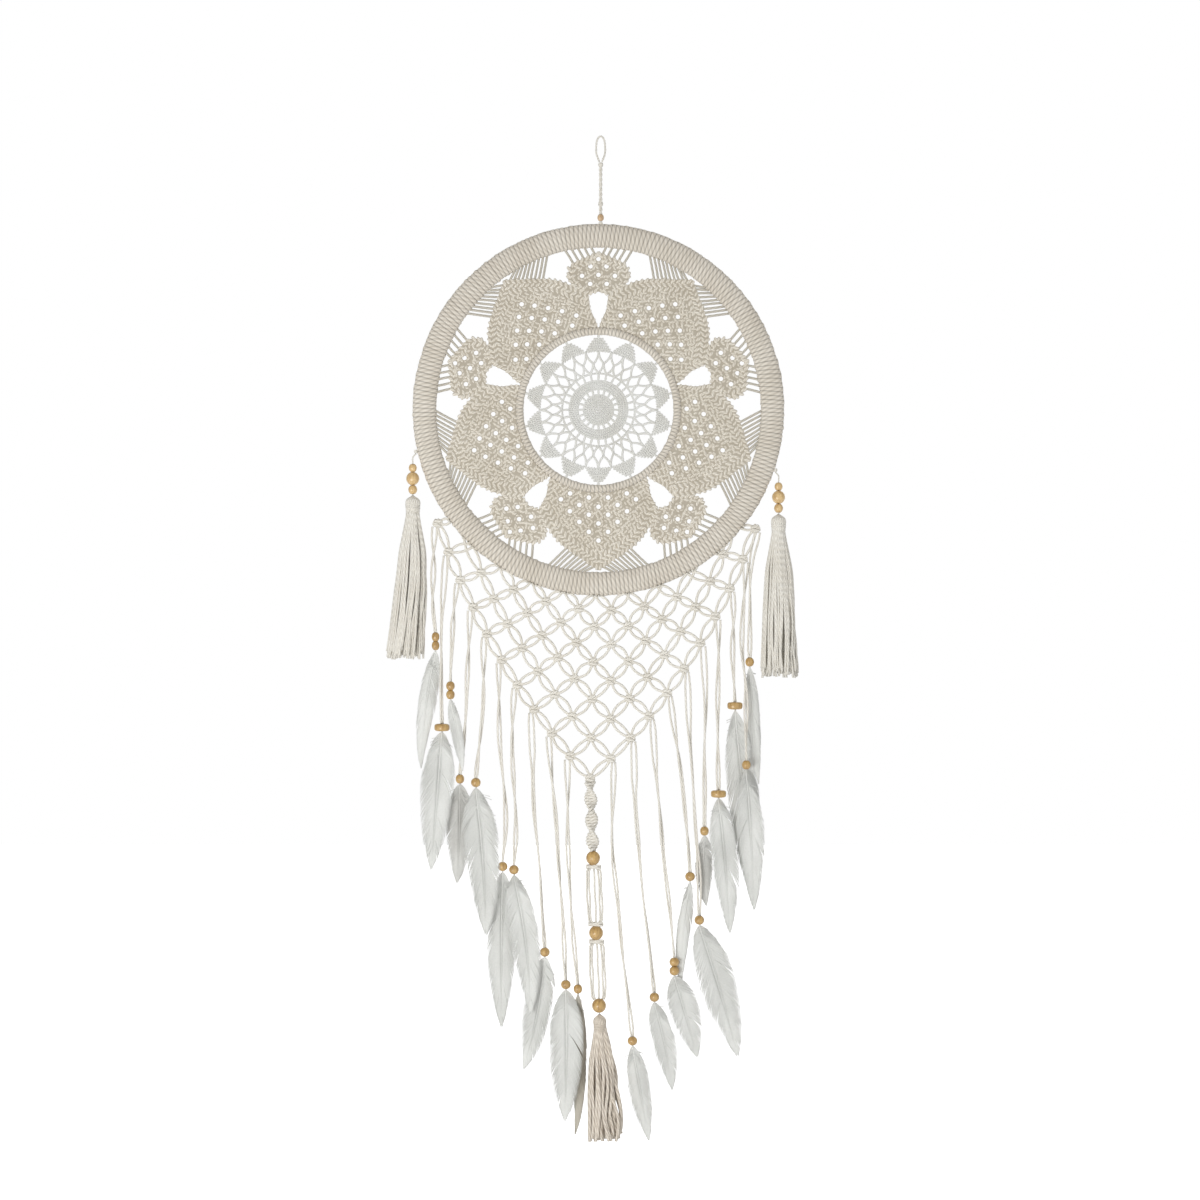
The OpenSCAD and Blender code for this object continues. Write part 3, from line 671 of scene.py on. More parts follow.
def row_along(edge, middle, offset, spacing):
    """Evenly spaced places beside an edge, offset towards a middle, with the edge's heading."""
    fine = np.column_stack([edge[:, 0], 0 * edge[:, 0], edge[:, 1]])
    line = smooth_path(fine, 60)[:, [0, 2]]
    step = np.gradient(line, axis=0)
    heading = unit(step)
    inward = np.stack([heading[:, 1], -heading[:, 0]], axis=-1)
    inward *= np.sign((inward * (middle - line)).sum(axis=1, keepdims=True) + 1e-9)
    moved = line + offset * inward
    run = np.concatenate([[0], np.cumsum(np.linalg.norm(np.diff(moved, axis=0), axis=1))])
    even = np.arange(spacing / 2, run[-1], spacing)
    place = np.column_stack([np.interp(even, run, moved[:, k]) for k in range(2)])
    ahead = np.column_stack([np.interp(even, run, heading[:, k]) for k in range(2)])
    return place, np.degrees(np.arctan2(ahead[:, 0], ahead[:, 1]))


def inside(outline, places):
    """Which places lie inside a closed outline, by counting the sides that each ray crosses."""
    a, b = outline[:, None], np.roll(outline, -1, axis=0)[:, None]
    x, z = places[None, :, 0], places[None, :, 1]
    rise = np.where(a[..., 1] == b[..., 1], 1e-9, b[..., 1] - a[..., 1])
    crossing = a[..., 0] + (b[..., 0] - a[..., 0]) * (z - a[..., 1]) / rise
    hit = ((a[..., 1] > z) != (b[..., 1] > z)) & (x < crossing)
    return hit.sum(axis=0) % 2 == 1


def edge_distance(outline, places):
    """How far each place is from the nearest side of a closed outline."""
    a, b = outline[:, None], np.roll(outline, -1, axis=0)[:, None]
    side = b - a
    share = np.clip(((places[None] - a) * side).sum(-1) / np.maximum((side * side).sum(-1), 1e-9), 0, 1)
    return np.linalg.norm(places[None] - a - share[..., None] * side, axis=-1).min(axis=0)


petal_t = 5.0
stitch_pitch = 2.9
hitch_r = 1.65
hole_r = 2.1
# Half of each outline from foot to tip, as shares of the way from the ring to the band and angles.
large_half = [
    (0, 35.5), (0.09, 34), (0.22, 31.4), (0.42, 31), (0.54, 24.5), (0.64, 20), (0.74, 14), (0.98, 0),
]
small_half = [(0.45, 0), (0.42, 5), (0.54, 11.5), (0.68, 13.5), (0.83, 10.5), (0.945, 0)]
# Rows of holes: the share of the way out, how many, and the angle between two.
large_holes = [
    (0.07, 4, 12.5), (0.18, 5, 11.4), (0.285, 4, 10.5), (0.39, 3, 9.7), (0.5, 2, 9), (0.605, 1, 0),
]
small_holes = [(0.55, 2, 7.5), (0.66, 3, 7), (0.77, 2, 6.4), (0.86, 1, 0)]


def knotted_petal(half, holes, rows, first_edge=3):
    """Stitches of one petal that points straight up: slanting hitches in rows along its outer
    edges, which start at the outline's point first_edge, a ring of stitches round each hole, and
    crossed stitches wherever there is still room."""
    right = np.array([polar(across(t), a) for t, a in half])
    left = right[::-1] * [-1, 1]
    outline = np.vstack([right, left])
    hole_at = np.array([
        polar(across(t), (k - (n - 1) / 2) * step) for t, n, step in holes for k in range(n)
    ])
    where, heading, long, thick = [], [], [], []

    def add(place, angle, length, radius):
        where.append(place)
        heading.append(np.broadcast_to(angle, len(place)).astype(float))
        long.append(np.full(len(place), length))
        thick.append(np.full(len(place), radius))

    def clear_of_holes(place, room):
        return np.linalg.norm(place[:, None] - hole_at[None], axis=-1).min(axis=1) > hole_r + room

    middle = np.array([0.0, across(0.5 * (half[0][0] + half[-1][0]))])
    for mirror in (1, -1):
        edge = right[first_edge:] * [mirror, 1]
        for row in range(rows):
            place, angle = row_along(edge, middle, 1.6 + 3.9 * row, 4.9)
            keep = (place[:, 0] * mirror > -0.5) & clear_of_holes(place, 1.5)
            slant = 46 if row % 2 == 0 else -46
            add(place[keep], (angle + mirror * slant)[keep], 6.6, hitch_r)
        place, angle = row_along(right[: first_edge + 1] * [mirror, 1], middle, 1.5, 4.4)
        keep = clear_of_holes(place, 1.3)
        add(place[keep], (angle + mirror * 40)[keep], 5.6, 1.6)
    stitches = 6
    turn = np.arange(stitches) * 360 / stitches
    around = (hole_at[:, None] + (hole_r + 1.45) * polar(1, turn)[None]).reshape(-1, 2)
    keep = inside(outline, around) & (edge_distance(outline, around) > 1.4)
    add(around[keep], np.tile(turn + 90, len(hole_at))[keep] + 14, 4.4, 1.4)
    x, z = np.meshgrid(np.arange(-52, 52, 1.3), np.arange(0.8 * ring_out, across(1), 1.3))
    spots = np.column_stack([x.ravel(), z.ravel()]) + rng.uniform(-0.4, 0.4, (x.size, 2))
    free = inside(outline, spots) & (edge_distance(outline, spots) > 1.5) & clear_of_holes(spots, 1.7)
    spots = spots[free & (np.linalg.norm(spots, axis=1) > ring_out + 1.2)]
    filled = np.vstack(where)
    worked = len(filled)
    for spot in spots:
        if np.linalg.norm(filled - spot, axis=1).min() > stitch_pitch:
            filled = np.vstack([filled, spot])
    fill = filled[worked:]
    add(fill, 42.0 * (-1) ** np.round(fill[:, 1] / stitch_pitch), 5.2, 1.5)
    return np.vstack(where), np.concatenate(heading), np.concatenate(long), np.concatenate(thick)


def backing(node, thinner):
    """The plain plate of a petal, thinned, as the body that its stitches are worked on."""
    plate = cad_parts[node].data
    bm = bmesh.new()
    bm.from_mesh(plate)
    bmesh.ops.remove_doubles(bm, verts=bm.verts, dist=1e-6)
    points = np.array([v.co for v in bm.verts]) * [1, thinner, 1]
    bm.verts.index_update()
    faces = np.array([[v.index for v in face.verts] for face in bm.faces])
    bm.free()
    return points, np.zeros((0, 4), int), faces, np.zeros((0, 4, 2)), np.zeros((len(faces), 3, 2))


def petal_stitches(stitches, turn):
    """A petal's stitches turned to their place round the hoop, each a little different."""
    place, heading, long, thick = stitches
    count = len(place)
    y = rng.uniform(-0.25, 0.25, count)
    centre = at_hoop(turned(place, turn), y)
    jitter = rng.uniform(-7, 7, count)
    size = rng.uniform(0.9, 1.08, count)
    lift = np.array([0, 1, 0]) * rng.uniform(-0.12, 0.12, count)[:, None]
    depth = 0.93 * petal_t / 2 / hitch_r
    return lumps(centre, upright(heading + turn + jitter) + lift, long * size * MM, thick * size * MM, depth)


# The petals' plates get a dark cotton: painted shade that shows in the gaps between the stitches.
shade_backing_cotton = cotton("shade_backing_cotton", (0.50, 0.455, 0.375), (0.34, 0.30, 0.24))
large_stitches = knotted_petal(large_half, large_holes, rows=3)
small_stitches = knotted_petal(small_half, small_holes, rows=2)
petals = [(f"large_petal_{k + 1}", [petal_stitches(large_stitches, 36 + 72 * k)]) for k in range(5)]
petals.append(("small_petals", [petal_stitches(small_stitches, 72 * k) for k in range(5)]))
for name, worked in petals:
    piece(f"{name}_knotwork", joined(*worked), greige_cotton, "hoop", [name])
    shade_backing = piece(f"{name}_ground", backing(name, 0.45), shade_backing_cotton, "hoop", [name])
    shade_backing.data.shade_flat()


# ---- Spokes ----
# The petals' working cords run on as spokes, from both slanting edges of each tip to the band.
spoke_cotton = cotton("spoke_cotton", (0.62, 0.59, 0.52), (0.36, 0.33, 0.27))
spoke_r = 1.15 * MM
# The shares at the tip and the shoulder, the shoulder's angle, how many spokes stand on each side,
# and the angles of the first and the last on the band.
large_spokes = (0.98, 0.74, 14, 9, 4.8, 17.5)
small_spokes = (0.945, 0.83, 10.5, 5, 2.5, 11.7)


def spoke_paths(tip_share, shoulder_share, shoulder_angle, count, first, last, turn):
    """Straight cords from a petal's slanting edge to the band, fanned evenly along both."""
    found = []
    for side in (-1, 1):
        t = np.arange(count)[:, None] / (count - 1)
        tip = polar(across(tip_share), 0.0)
        shoulder = polar(across(shoulder_share), side * shoulder_angle)
        edge = tip + (shoulder - tip) * (0.14 + 0.8 * t)
        rim = polar(hoop_r - band_w, side * (first + (last - first) * t[:, 0]))
        out = unit(rim - edge)
        ends = np.stack([edge - 1.2 * out, (edge + rim) / 2, rim + 1.2 * out], axis=1)
        found.append(at_hoop(turned(ends, turn)))
    return np.vstack(found)


paths = np.vstack([
    spoke_paths(*kind, start + 72 * k) for kind, start in ((large_spokes, 36), (small_spokes, 0)) for k in range(5)
])
paths[:, 1] += rng.uniform(-0.3, 0.3, (len(paths), 3)) * MM
start, middle, stop = paths[:, [0]], paths[:, [1]], paths[:, [2]]
t = np.linspace(0, 1, 7)[None, :, None]
spoke_lines = start + (stop - start) * t + (middle - (start + stop) / 2) * np.sin(np.pi * t)
piece("petal_spokes", tubes(spoke_lines, spoke_r, 7), spoke_cotton, "hoop", ["spoke_cords"])


# ---- Crocheted doily ----
# A white star worked in the round from fine yarn: a solid centre, a round of posts, two rounds of
# open mesh and fourteen solid points, each sewn to the inner ring.
white_cotton = cotton(
    "white_cotton", (0.80, 0.80, 0.77), (0.55, 0.55, 0.525), ply_length=0.003, depth=0.00012
)
opening_r = ring_out - ring_t
yarn_r = 1.12
post_r = 1.1
mesh_r = 1.0
points_n = 14
posts_n = 20
mesh_n = 28


def stitches_round(radius, pitch=1.9, length=2.7, lean=14, first=0.0, sweep=360.0):
    """One round of crochet: radial stitches at an even pitch, all leaning the same way."""
    count = max(int(round(2 * np.pi * radius * sweep / 360 / pitch)), 1)
    angle = first + (np.arange(count) + 0.5) * sweep / count
    return np.column_stack([np.full(count, radius), angle, angle + lean, np.full(count, length)])


def posts_round(radius, count, length):
    """One round of upright posts."""
    angle = 360 / count * np.arange(count)
    return np.column_stack([np.full(count, radius), angle, angle, np.full(count, length)])


# Each row of solid is one stitch: its radius, its angle, its heading and its length.
centre_rounds = [1.6, 4.0, 6.4, 8.8, 11.2, 13.2, 19.2, 21.6, 24.0, 26.2]
solid = [stitches_round(r, lean=16 * (-1) ** k) for k, r in enumerate(centre_rounds)]
solid += [stitches_round(0.785 * opening_r, 2.6, 2.4, 60), stitches_round(0.485 * opening_r, 2.4, 2.6, 80)]
point_step = 360 / points_n
for k in range(points_n):
    for r in np.arange(0.81, 0.975, 0.033) * opening_r:
        reach = 0.88 * point_step / 2 * (1 - (r / opening_r - 0.8) / 0.2) + 0.7
        solid.append(stitches_round(r, 1.9, 2.9, 12, k * point_step - reach, 2 * reach))
    solid.append(np.array([[0.985 * opening_r, k * point_step, k * point_step, 5.0]]))
solid += [posts_round(16.2, posts_n, 5.5), posts_round(0.43 * opening_r, mesh_n, 7.5)]
solid = np.vstack(solid)
radii = np.where(solid[:, 3] > 5, post_r, yarn_r) * rng.uniform(0.92, 1.06, len(solid))
centre = at_hoop(polar(solid[:, 0], solid[:, 1]), rng.uniform(-0.15, 0.15, len(solid)))
heading = upright(solid[:, 2] + rng.uniform(-5, 5, len(solid)))
crochet = lumps(centre, heading, solid[:, 3] * MM, radii * MM, 0.95, 6)


def bowed(starts, ends, bow, count=8):
    """Cords between places in the plane, bowed sideways by bow * sin along their length."""
    t = np.linspace(0, 1, count)[None, :, None]
    step = ends - starts
    side = unit(np.stack([-step[:, 1], step[:, 0]], axis=-1))
    bow = np.broadcast_to(bow, len(starts))[:, None, None]
    return starts[:, None] * (1 - t) + ends[:, None] * t + side[:, None] * bow * np.sin(np.pi * t)


mesh_step = 360 / mesh_n
base = mesh_step * np.arange(mesh_n)
foot_at, top_at = polar(0.49 * opening_r, base), polar(0.785 * opening_r, base)
mid_at = polar(0.62 * opening_r, base + mesh_step / 2)
mesh_cords = np.vstack([
    bowed(foot_at, mid_at, -0.9),
    bowed(foot_at, np.roll(mid_at, 1, axis=0), 0.9),
    bowed(mid_at, np.roll(top_at, -1, axis=0), -1.2),
    bowed(mid_at, top_at, 1.2),
])
mesh_cords += rng.uniform(-0.25, 0.25, (len(mesh_cords), 1, 2))
star = joined(crochet, tubes(at_hoop(mesh_cords), mesh_r * MM, 6))
piece("crocheted_star", star, white_cotton, "hoop", ["crochet_doily"])


# ---- Net ----
# Alternating square knots under the hoop, narrowing to one knot. Between knots each pair of cords
# bows apart into a small eye; the top ones are hitched over the hoop's rim.
net_reach = 10
net_cord_r = 1.25 * MM
side_gap = 1.1
knot_gap = 2.2
knots_at = {
    (i, j): net_knot(i, j)
    for i in range(net_reach + 1)
    for j in range(net_reach + 1)
    if np.linalg.norm(net_knot(i, j)) > hoop_r + knot_w / 2
}
# One square knot: places sideways, forwards and up, its heading's tilt, length and radius.
square_knot = [
    (0, -1.2, 1.75, 78, 7.6, 1.65), (0, -1.2, -1.75, 102, 7.6, 1.65), (0, 1.2, 1.75, 102, 7.6, 1.65),
    (0, 1.2, -1.75, 78, 7.6, 1.65), (-3.3, 0, 0, 12, 6.0, 1.4), (3.3, 0, 0, -12, 6.0, 1.4),
    (-1.2, 0, 0, 14, 9.0, 1.4), (1.2, 0, 0, -14, 9.0, 1.4),
]
x, y, z, angle, long, thick = np.array(square_knot).T
knots = []
for at in knots_at.values():
    spin = rng.uniform(-14, 14)
    centre = at_hoop(at + turned(np.stack([x, z], axis=-1), spin), y)
    knots.append(lumps(centre, upright(angle + spin), long * MM, thick * MM))


def way_to_hoop(start, along):
    """How far along a line the hoop's rim lies, or its nearest place if the line misses it."""
    middle = -float(start @ along)
    half_chord = math.sqrt(max(middle**2 - float(start @ start) + (hoop_r - 0.8) ** 2, 0))
    return middle - half_chord if middle > half_chord else middle + half_chord


starts, ends, bows, hitches = [], [], [], []
for (i, j), a in knots_at.items():
    for step in ((1, 0), (0, 1)):
        if (i, j)[step[1]] == net_reach:
            continue
        b = net_knot(i + step[0], j + step[1])
        along = unit(b - a)
        free = (i + step[0], j + step[1]) in knots_at
        for s in (-1, 1):
            beside = a + side_gap * s * np.array([-along[1], along[0]])
            stop = np.linalg.norm(b - a) - knot_gap if free else way_to_hoop(beside, along)
            if stop < knot_gap + 1:
                continue
            starts.append(beside + knot_gap * along)
            ends.append(beside + stop * along)
            bows.append(s * min(0.14 * (stop - knot_gap), 2.6) * rng.uniform(0.55, 1.3))
            if not free:
                hitches.append(ends[-1])
net_lines = at_hoop(bowed(np.array(starts), np.array(ends), np.array(bows), 11))
waver = rng.uniform(-0.35, 0.35, len(net_lines))[:, None] * MM
net_lines[..., 1] += waver * np.sin(np.pi * np.linspace(0, 1, 11))
rim = np.array(hitches) + unit(np.array(hitches)) * 0.9
hitch_lumps = lumps(at_hoop(rim), np.tile([0.0, 1.0, 0.0], (len(rim), 1)), 9.5 * MM, 1.25 * MM)
net_cords = joined(tubes(net_lines, net_cord_r, 7), hitch_lumps)
piece("square_knots", joined(*knots), cream_cotton, "hoop", ["net_knots"])
piece("net_pairs", net_cords, cream_cotton, "hoop", ["net_cords"])

tie_places = [(0, 0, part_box("hoop_ties")[1][2] - 1.5 * MM)]
for name in ("left", "right"):
    low, high = (np.array(corner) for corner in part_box(f"{name}_tassel_thread"))
    x = low[0] + thread_d / 2 if name == "right" else high[0] - thread_d / 2
    tie_places.append((x, 0, high[2] + 1.9 * MM))
ties = [bound_knot(place, 1.9 * MM, 3.4 * MM, 0.7 * MM, 0.3) for place in tie_places]
piece("tie_knots", joined(*ties), cream_cotton, "hoop", ["hoop_ties"])


# ---- Centre drop ----
# A flat sennit of half knots that twists as it goes down, then three round beads with open
# ladders of bowed cords between them, all on the net's lowest knot.
drop_lean = math.radians(2.3)
sennit_l = 63.5
sennit_w = 11.5
centre_bead_d = 13.0
ladder_l = (49.5, 50.5)
centre_knot_h = 3.0
knot_bar_l = 14.5


def leaning(x, z, lean):
    """Places across and along a line that leans from plumb by an angle."""
    cos, sin = math.cos(lean), math.sin(lean)
    return x * cos - z * sin, z * cos + x * sin


def at_drop(x, y, z):
    """Places on the centre drop, in millimetres about its own line, which leans a little."""
    x, y, z = np.broadcast_arrays(np.asarray(x, float), y, z)
    return at_hoop(net_foot + np.stack(leaning(x, z, drop_lean), axis=-1), y)


sennit_top = -knot_h / 2 - 0.4
half_knots = 24
turn = np.linspace(0, 2 * np.pi, 24, endpoint=False)
rounds = []
for k in range(half_knots):
    x, y = leaning((sennit_w / 2 - 0.9) * np.cos(turn), 1.2 * np.sin(turn), math.radians(25 * k + 40))
    z = sennit_top - 1.2 - (sennit_l - 2.4) * k / (half_knots - 1) + 0.9 * np.sin(turn + 0.6)
    ring = at_drop(x, y, z)
    rounds.append(np.vstack([ring, ring[:1]]))
core = at_drop(0, 0, sennit_top - sennit_l * np.linspace(0.01, 0.99, 20))
sennit = joined(tubes(rounds, 1.5 * MM, 7), tubes([core], 1.7 * MM, 8))
piece("twisted_sennit", sennit, cream_cotton, "centre_drop", ["centre_sennit"])

bead_z = [sennit_top - sennit_l - centre_bead_d / 2 + 0.3]
knot_z = [bead_z[0] - centre_bead_d / 2 - centre_knot_h / 2]
knot_z.append(knot_z[0] - centre_knot_h - ladder_l[0])
bead_z.append(knot_z[1] - centre_knot_h / 2 - centre_bead_d / 2)
knot_z.append(bead_z[1] - centre_bead_d / 2 - centre_knot_h / 2)
bead_z.append(knot_z[2] - centre_knot_h / 2 - ladder_l[1] - centre_bead_d / 2)
for number, z in enumerate(bead_z, 1):
    bead = bored_bead(at_drop(0, 0, z), centre_bead_d / 2 * MM, 0.49 * centre_bead_d * MM)
    name = f"centre_turned_bead_{number}"
    piece(name, bead, honey_wood, "centre_drop", [f"centre_bead_{number}"])

# Each knot is four bars, two in front and two behind: depth, height and tilt.
bars = ((-1.5, 0.75, -5), (-1.5, -0.75, 5), (1.5, 0.75, 5), (1.5, -0.75, -5))
y, up, tilt = np.array(bars).T
centres = np.vstack([at_drop(0, y, z + up) for z in knot_z])
knot_bars = lumps(centres, upright(np.tile(90 + tilt, len(knot_z))), knot_bar_l * MM, 1.3 * MM)
piece("centre_square_knots", knot_bars, cream_cotton, "centre_drop", ["centre_knots"])
# Each ladder cord: where its ends and its middle stand sideways, and its depth.
rails = ((-4.6, -6.8, 0.6), (-3.0, -4.6, -0.6), (3.0, 4.4, 0.5), (4.6, 6.6, -0.5), (0, 0.4, 0))


def ladder(top, bottom):
    """Cords between two knots: a pair on each side that bows out square, like a ladder's rails,
    and one that runs straight between. The bow is a sine to a low power."""
    t = np.linspace(0, 1, 18)
    bow = np.sin(np.pi * t) ** 0.18
    lines = []
    for foot, belly, y in rails:
        wave = 0.25 * np.sin(2 * np.pi * t * 1.7 + belly)
        x = foot + (belly - foot + wave) * bow
        lines.append(at_drop(x, y, top + (bottom - top) * t))
    return tubes(lines, 0.95 * MM, 6)


last_bead_top = bead_z[2] + centre_bead_d / 2
ladders = joined(ladder(knot_z[0] - 1.2, knot_z[1] + 1.2), ladder(knot_z[2] - 1.2, last_bead_top - 1))
piece("centre_ladders", ladders, cream_cotton, "centre_drop", ["centre_ladder_cords"])


# ---- Tassels ----
# Bundles of cotton cord folded over their thread, bound below the fold and left to hang open.
beige_cotton = cotton("beige_cotton", (0.80, 0.735, 0.645), (0.40, 0.34, 0.27), ply_length=0.008)
neck_l = 3.0


def tassel(name, place, lean, sweep, head, skirt, wave, finish, binding):
    """A bound head and its skirt. head is its width and height; skirt is the hem's width, the
    length, how many strands hang in it and their radius. A strand lies at a share of the skirt's
    radius, which grows from the head to the hem. It waves by a slow sine on its way down, and the
    whole skirt drifts sideways by sweep * t^2, t from 0 at the head to 1 at the hem."""
    head_d, head_h = head
    hem_d, skirt_l, strands, strand_r = skirt

    def at(x, y, z):
        """Places about the tassel's own line, which leans as its drop does."""
        x, y, z = np.broadcast_arrays(np.asarray(x, float), y, z)
        x, z = leaning(x, z, lean)
        return np.asarray(place) + np.stack([x, y, z], axis=-1) * MM

    fold_z = -neck_l - np.array([-1.4, -0.6, 0.6, 2.4, 5, 0.7 * head_h, head_h + 2])
    fold_r = np.append([0.4, 1.1], np.array([0.26, 0.41, 0.46, 0.43, 0.41]) * head_d)
    count = 20
    turn = 2 * np.pi * (np.arange(count) + rng.uniform(-0.15, 0.15, count)) / count
    fold = [smooth_path(at(fold_r * np.cos(a), fold_r * np.sin(a), fold_z), 14) for a in turn]
    core = smooth_path(at(0, 0, np.append(-0.1, fold_z[1:])), 9)
    core_r = np.interp(np.arange(9), [0, 1, 3], [0.6, 0.9, 0.4 * head_d])
    a = np.linspace(0, 2 * np.pi * binding, 20 * binding)
    coil_r = 0.46 * head_d + 0.2
    coil = at(coil_r * np.cos(a), coil_r * np.sin(a), -neck_l - 0.62 * head_h - 1.5 * a / (2 * np.pi))
    head = joined(tubes(fold, 1.05 * MM, 6), tubes([core], core_r * MM, 10), tubes([coil], 0.75 * MM, 6))
    piece(f"{name}_bound_head", head, finish, name, [f"{name}_head"])
    t = np.linspace(0, 1, 22)
    z = -neck_l - head_h + 1.5
    widths = [0.40 * head_d, 0.45 * head_d, 0.335 * hem_d, 0.41 * hem_d, 0.46 * hem_d]
    r = np.interp(t, [0, 0.06, 0.3, 0.6, 1], widths)
    lines = []
    for k in range(strands):
        share = 0.93 if k < 0.5 * strands else math.sqrt(rng.uniform(0.02, 0.8))
        a = 2.4 * k + rng.uniform(-0.2, 0.2)
        sway = wave * t**0.8 * np.sin(t * rng.uniform(5, 10) + rng.uniform(0, 6))
        drift = rng.normal(0, 0.10) * t
        length = skirt_l * rng.uniform(0.93, 1.0)
        x = (share * r + 0.6 * sway) * np.cos(a + drift) + sway * 0.7 + sweep * t**2
        y = (share * r + 0.6 * sway) * np.sin(a + drift)
        lines.append(at(x, 0.92 * y, z - length * t))
    hanging = tubes(lines, strand_r * MM * rng.uniform(0.88, 1.08, (strands, 1)), 6)
    piece(f"{name}_hanging_skirt", hanging, finish, name, [f"{name}_skirt"])


for name in ("left", "right"):
    low, high = (np.array(corner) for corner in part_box(f"{name}_tassel_head"))
    place = ((low[0] + high[0]) / 2, 0, high[2] + 0.4 * MM)
    sweep = -8 if name == "left" else 0
    tassel(
        f"{name}_tassel", place, 0, sweep, (13, 11), (36, 138, 100, 1.1), 1.6, cream_cotton,
        binding=2,
    )
place = at_drop(0, 0, bead_z[2] - centre_bead_d / 2 - 0.4)
tassel(
    "centre_tassel", place, drop_lean, 0, (11, 10), (32, 106, 46, 1.6), 3.2, beige_cotton,
    binding=5,
)


# ---- Feathers ----
# White and greyish wing feathers, each pushed into its bead by the quill. The vane is a row of
# fine barbs on each side of the shaft, which cling together in clumps and part between them.
def plume(name, tint, shade):
    """Soft barbs: a faint mottle along the feather under a fine noise, with a soft sheen."""
    f = Finish(name, rough=0.8, sheen=0.12)
    mottle, barbs = f.noise(45, 4, (1, 1, 0.4)), f.noise(900, 2)
    blend = f.sum("MULTIPLY_ADD", mottle, 0.7, f.sum("MULTIPLY", barbs, 0.3))
    colour = f.ramp(blend, (0.3, shade), (0.62, tint))
    return f.done(colour, f.bump(f.noise(2400, 2), 0.00003))


white_plume = plume("white_plume", (0.72, 0.725, 0.695), (0.56, 0.565, 0.535))
grey_plume = plume("grey_plume", (0.66, 0.66, 0.63), (0.42, 0.41, 0.38))
dark_plume = plume("dark_plume", (0.52, 0.49, 0.42), (0.30, 0.27, 0.22))
grey_feathers = {"left_feather_1": dark_plume, "left_feather_7": grey_plume, "right_feather_6": grey_plume}
vane_place = [0.0, 0.06, 0.14, 0.26, 0.42, 0.62, 0.80, 0.92, 1.0]
vane_width = [0.16, 0.42, 0.74, 0.97, 1.0, 0.88, 0.60, 0.30, 0.04]
full_vane = 1.2
# These three lie between close neighbours, so their vanes stay as narrow as their CAD solids.
snug = {"right_feather_7", "right_feather_8", "right_feather_10"}


def feather(name, root, run, half, layer, finish):
    """One feather. Its shaft bends from the bead's bore to its own layer. A barb leaves the shaft
    at a share t and ends on the vane's outline at a share e(t) > t, where the half width is w(e):
    it goes w * u out and (e - t) * u^1.35 on, u from 0 to 1. Each clump shares its e and w."""
    run = np.asarray(run, float)
    reach = np.linalg.norm(run)
    down = run / reach
    out = np.array([-down[1], down[0]])
    bend = rng.uniform(-0.03, 0.03)
    curl = rng.uniform(0.2, 0.9)

    def shaft(t):
        """The shaft's line in the plane and its depth."""
        plane = root + reach * (t[..., None] * down + bend * np.sin(np.pi * t)[..., None] * out)
        ease = np.clip(t * reach / 14, 0, 1)
        return plane, layer * ease * ease * (3 - 2 * ease) + curl * t**2

    def barbs_along(start, depth, side, sideways, ahead, y, thick, *girth):
        """Barbs from places on the shaft, by how far each goes out and on."""
        line = start[:, None] + side * sideways[..., None] * out + ahead[..., None] * down
        return tubes(at_hoop(line, depth[:, None] + y), thick * MM, 4, *girth)

    # The quill's bare end stands plumb in the bead's bore.
    t = np.linspace(-3.5 / reach, 0.955, 26)
    plane, y = shaft(np.maximum(t, 0))
    plane = plane + np.minimum(t, 0)[:, None] * reach * np.array([0, -1.0])
    stem = tubes([at_hoop(plane, y)], np.linspace(0.8, 0.2, 26) * MM, 6)
    barbs = int(reach / 1.15)
    u = np.linspace(0, 1, 7)[None, :]
    swell = np.array([[0.8, 1.0, 1.05, 1.0, 0.9, 0.7, 0.25]])
    vanes = []
    for side in (-1, 1):
        t = np.linspace(0.005, 0.955, barbs)
        cuts = np.sort(rng.choice(np.arange(3, barbs - 3), max(barbs // 15, 3), replace=False))
        clump = np.searchsorted(cuts, np.arange(barbs), side="right")
        shift = rng.normal(0, 0.007, len(cuts) + 1)[clump] + rng.normal(0, 0.002, barbs)
        full = rng.uniform(0.90, 1.04, len(cuts) + 1)[clump] * rng.uniform(0.97, 1.02, barbs)
        lift = rng.uniform(-0.25, 0.25, len(cuts) + 1)[clump]
        end = np.interp(t, [0, 0.15, 0.4, 0.7, 0.955], [0.05, 0.30, 0.60, 0.87, 1.0])
        end = np.minimum(end + shift * np.sqrt(1 - t), 1.0)
        width = half * np.interp(end, vane_place, vane_width) * full
        sideways = width[:, None] * u
        ahead = (end - t)[:, None] * reach * u**1.35
        y = lift[:, None] * u + 1.3 * (sideways / half) ** 2 * np.sign(layer)
        pitch = (t[1] - t[0]) * reach * width / np.hypot(width, (end - t) * reach)
        thick = np.maximum(0.85 * pitch, 0.45)[:, None] * swell
        vanes.append(barbs_along(*shaft(t), side, sideways, ahead, y, thick, 0.3))
        # Loose fluff near the quill.
        fluff = 12
        t = rng.uniform(0.03, 0.16, fluff)
        length = rng.uniform(0.35, 0.75, fluff)[:, None] * half
        angle = np.radians(rng.uniform(25, 85, fluff))[:, None]
        curve = rng.uniform(-0.35, 0.35, fluff)[:, None] * u**2
        sideways = length * (np.sin(angle) * u + curve)
        ahead = length * (np.cos(angle) * u + np.abs(curve))
        y = rng.uniform(-0.8, 0.8, fluff)[:, None] * u
        vanes.append(barbs_along(*shaft(t), side, sideways, ahead, y, 0.3))
    piece(f"{name}_plume", joined(stem, *vanes), finish, f"{name}_body", [name])


quill_gap = 0.8
for side, name, strands in ((-1, "left", left_strands), (1, "right", right_strands)):
    for number, (places, beads, end_y, (lean_x, lean_z, half, layer)) in enumerate(strands, 1):
        drop = disc_bead_h if beads == 0 else beads * round_bead_h
        root = knot_above(side, number) + np.array(places[-1]) - [0, drop + quill_gap]
        key = f"{name}_feather_{number}"
        half *= 1.0 if key in snug else full_vane
        feather(key, root, (lean_x, lean_z), half, layer, grey_feathers.get(key, white_plume))


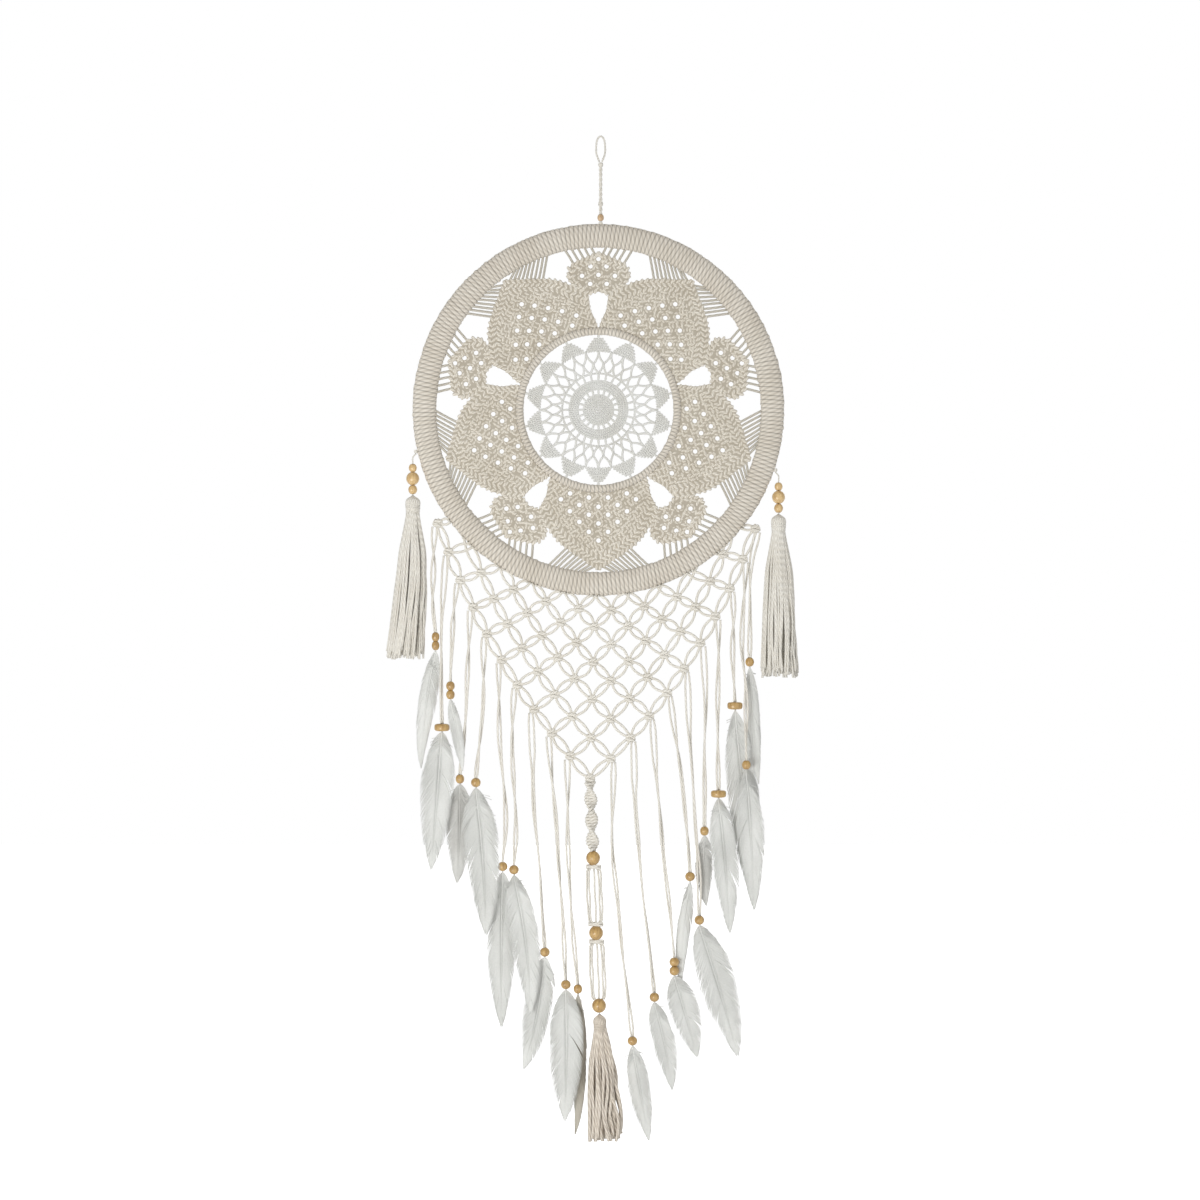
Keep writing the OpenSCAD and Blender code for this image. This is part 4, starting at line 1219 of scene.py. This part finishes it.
# ---- Studio ----
# A plain pale floor below the fringe, in a plain white room with broad soft lights. There is no
# wall, so the back of the object is lit and seen as its front is.
floor_z = cad_box[0][2] - 0.32
corners = [(-9, -9, floor_z), (9, -9, floor_z), (9, 9, floor_z), (-9, 9, floor_z)]
sheet = bpy.data.meshes.new("floor")
sheet.from_pydata(corners, [], [(0, 1, 2, 3)])
paper = Finish("studio_paper", rough=0.95)
paper.shader.inputs["Emission Color"].default_value = (1, 1, 1, 1)
paper.shader.inputs["Emission Strength"].default_value = 0.75
pale = paper.ramp(paper.noise(3, 2), (0.2, (0.93, 0.93, 0.93)), (0.8, (0.96, 0.96, 0.96)))
sheet.materials.append(paper.done(pale))
floor = bpy.data.objects.new("floor", sheet)
bpy.context.scene.collection.objects.link(floor)
floor.visible_diffuse = False


def soft_light(name, place, aim, size, power):
    """A square area light at a place, turned to face another place."""
    lamp = bpy.data.lights.new(name, "AREA")
    lamp.shape = "SQUARE"
    lamp.size = size
    lamp.energy = power
    obj = bpy.data.objects.new(name, lamp)
    obj.location = place
    obj.rotation_euler = (Vector(aim) - Vector(place)).to_track_quat("-Z", "Y").to_euler()
    bpy.context.scene.collection.objects.link(obj)


middle = (hoop_centre[0], 0, hoop_centre[2] - 0.15)
soft_light("key", (-0.9, -1.7, -1.15), middle, 0.9, 36)
soft_light("fill", (1.6, -2.0, 0.4), middle, 1.8, 9)
soft_light("back_fill", (0.7, 1.9, -0.2), middle, 1.8, 12)
world = bpy.data.worlds.new("studio")
world.use_nodes = True
sky = world.node_tree.nodes["Background"]
sky.inputs["Color"].default_value = (1, 1, 1, 1)
# The white room lights the object less than the camera sees of it.
sky_light, sky_seen = 0.6, 1.0
seen = world.node_tree.nodes.new("ShaderNodeLightPath")
strength = world.node_tree.nodes.new("ShaderNodeMath")
strength.operation = "MULTIPLY_ADD"
strength.inputs[1].default_value = sky_seen - sky_light
strength.inputs[2].default_value = sky_light
world.node_tree.links.new(seen.outputs["Is Camera Ray"], strength.inputs[0])
world.node_tree.links.new(strength.outputs["Value"], sky.inputs["Strength"])
bpy.context.scene.world = world
bpy.context.scene.view_settings.view_transform = "Standard"
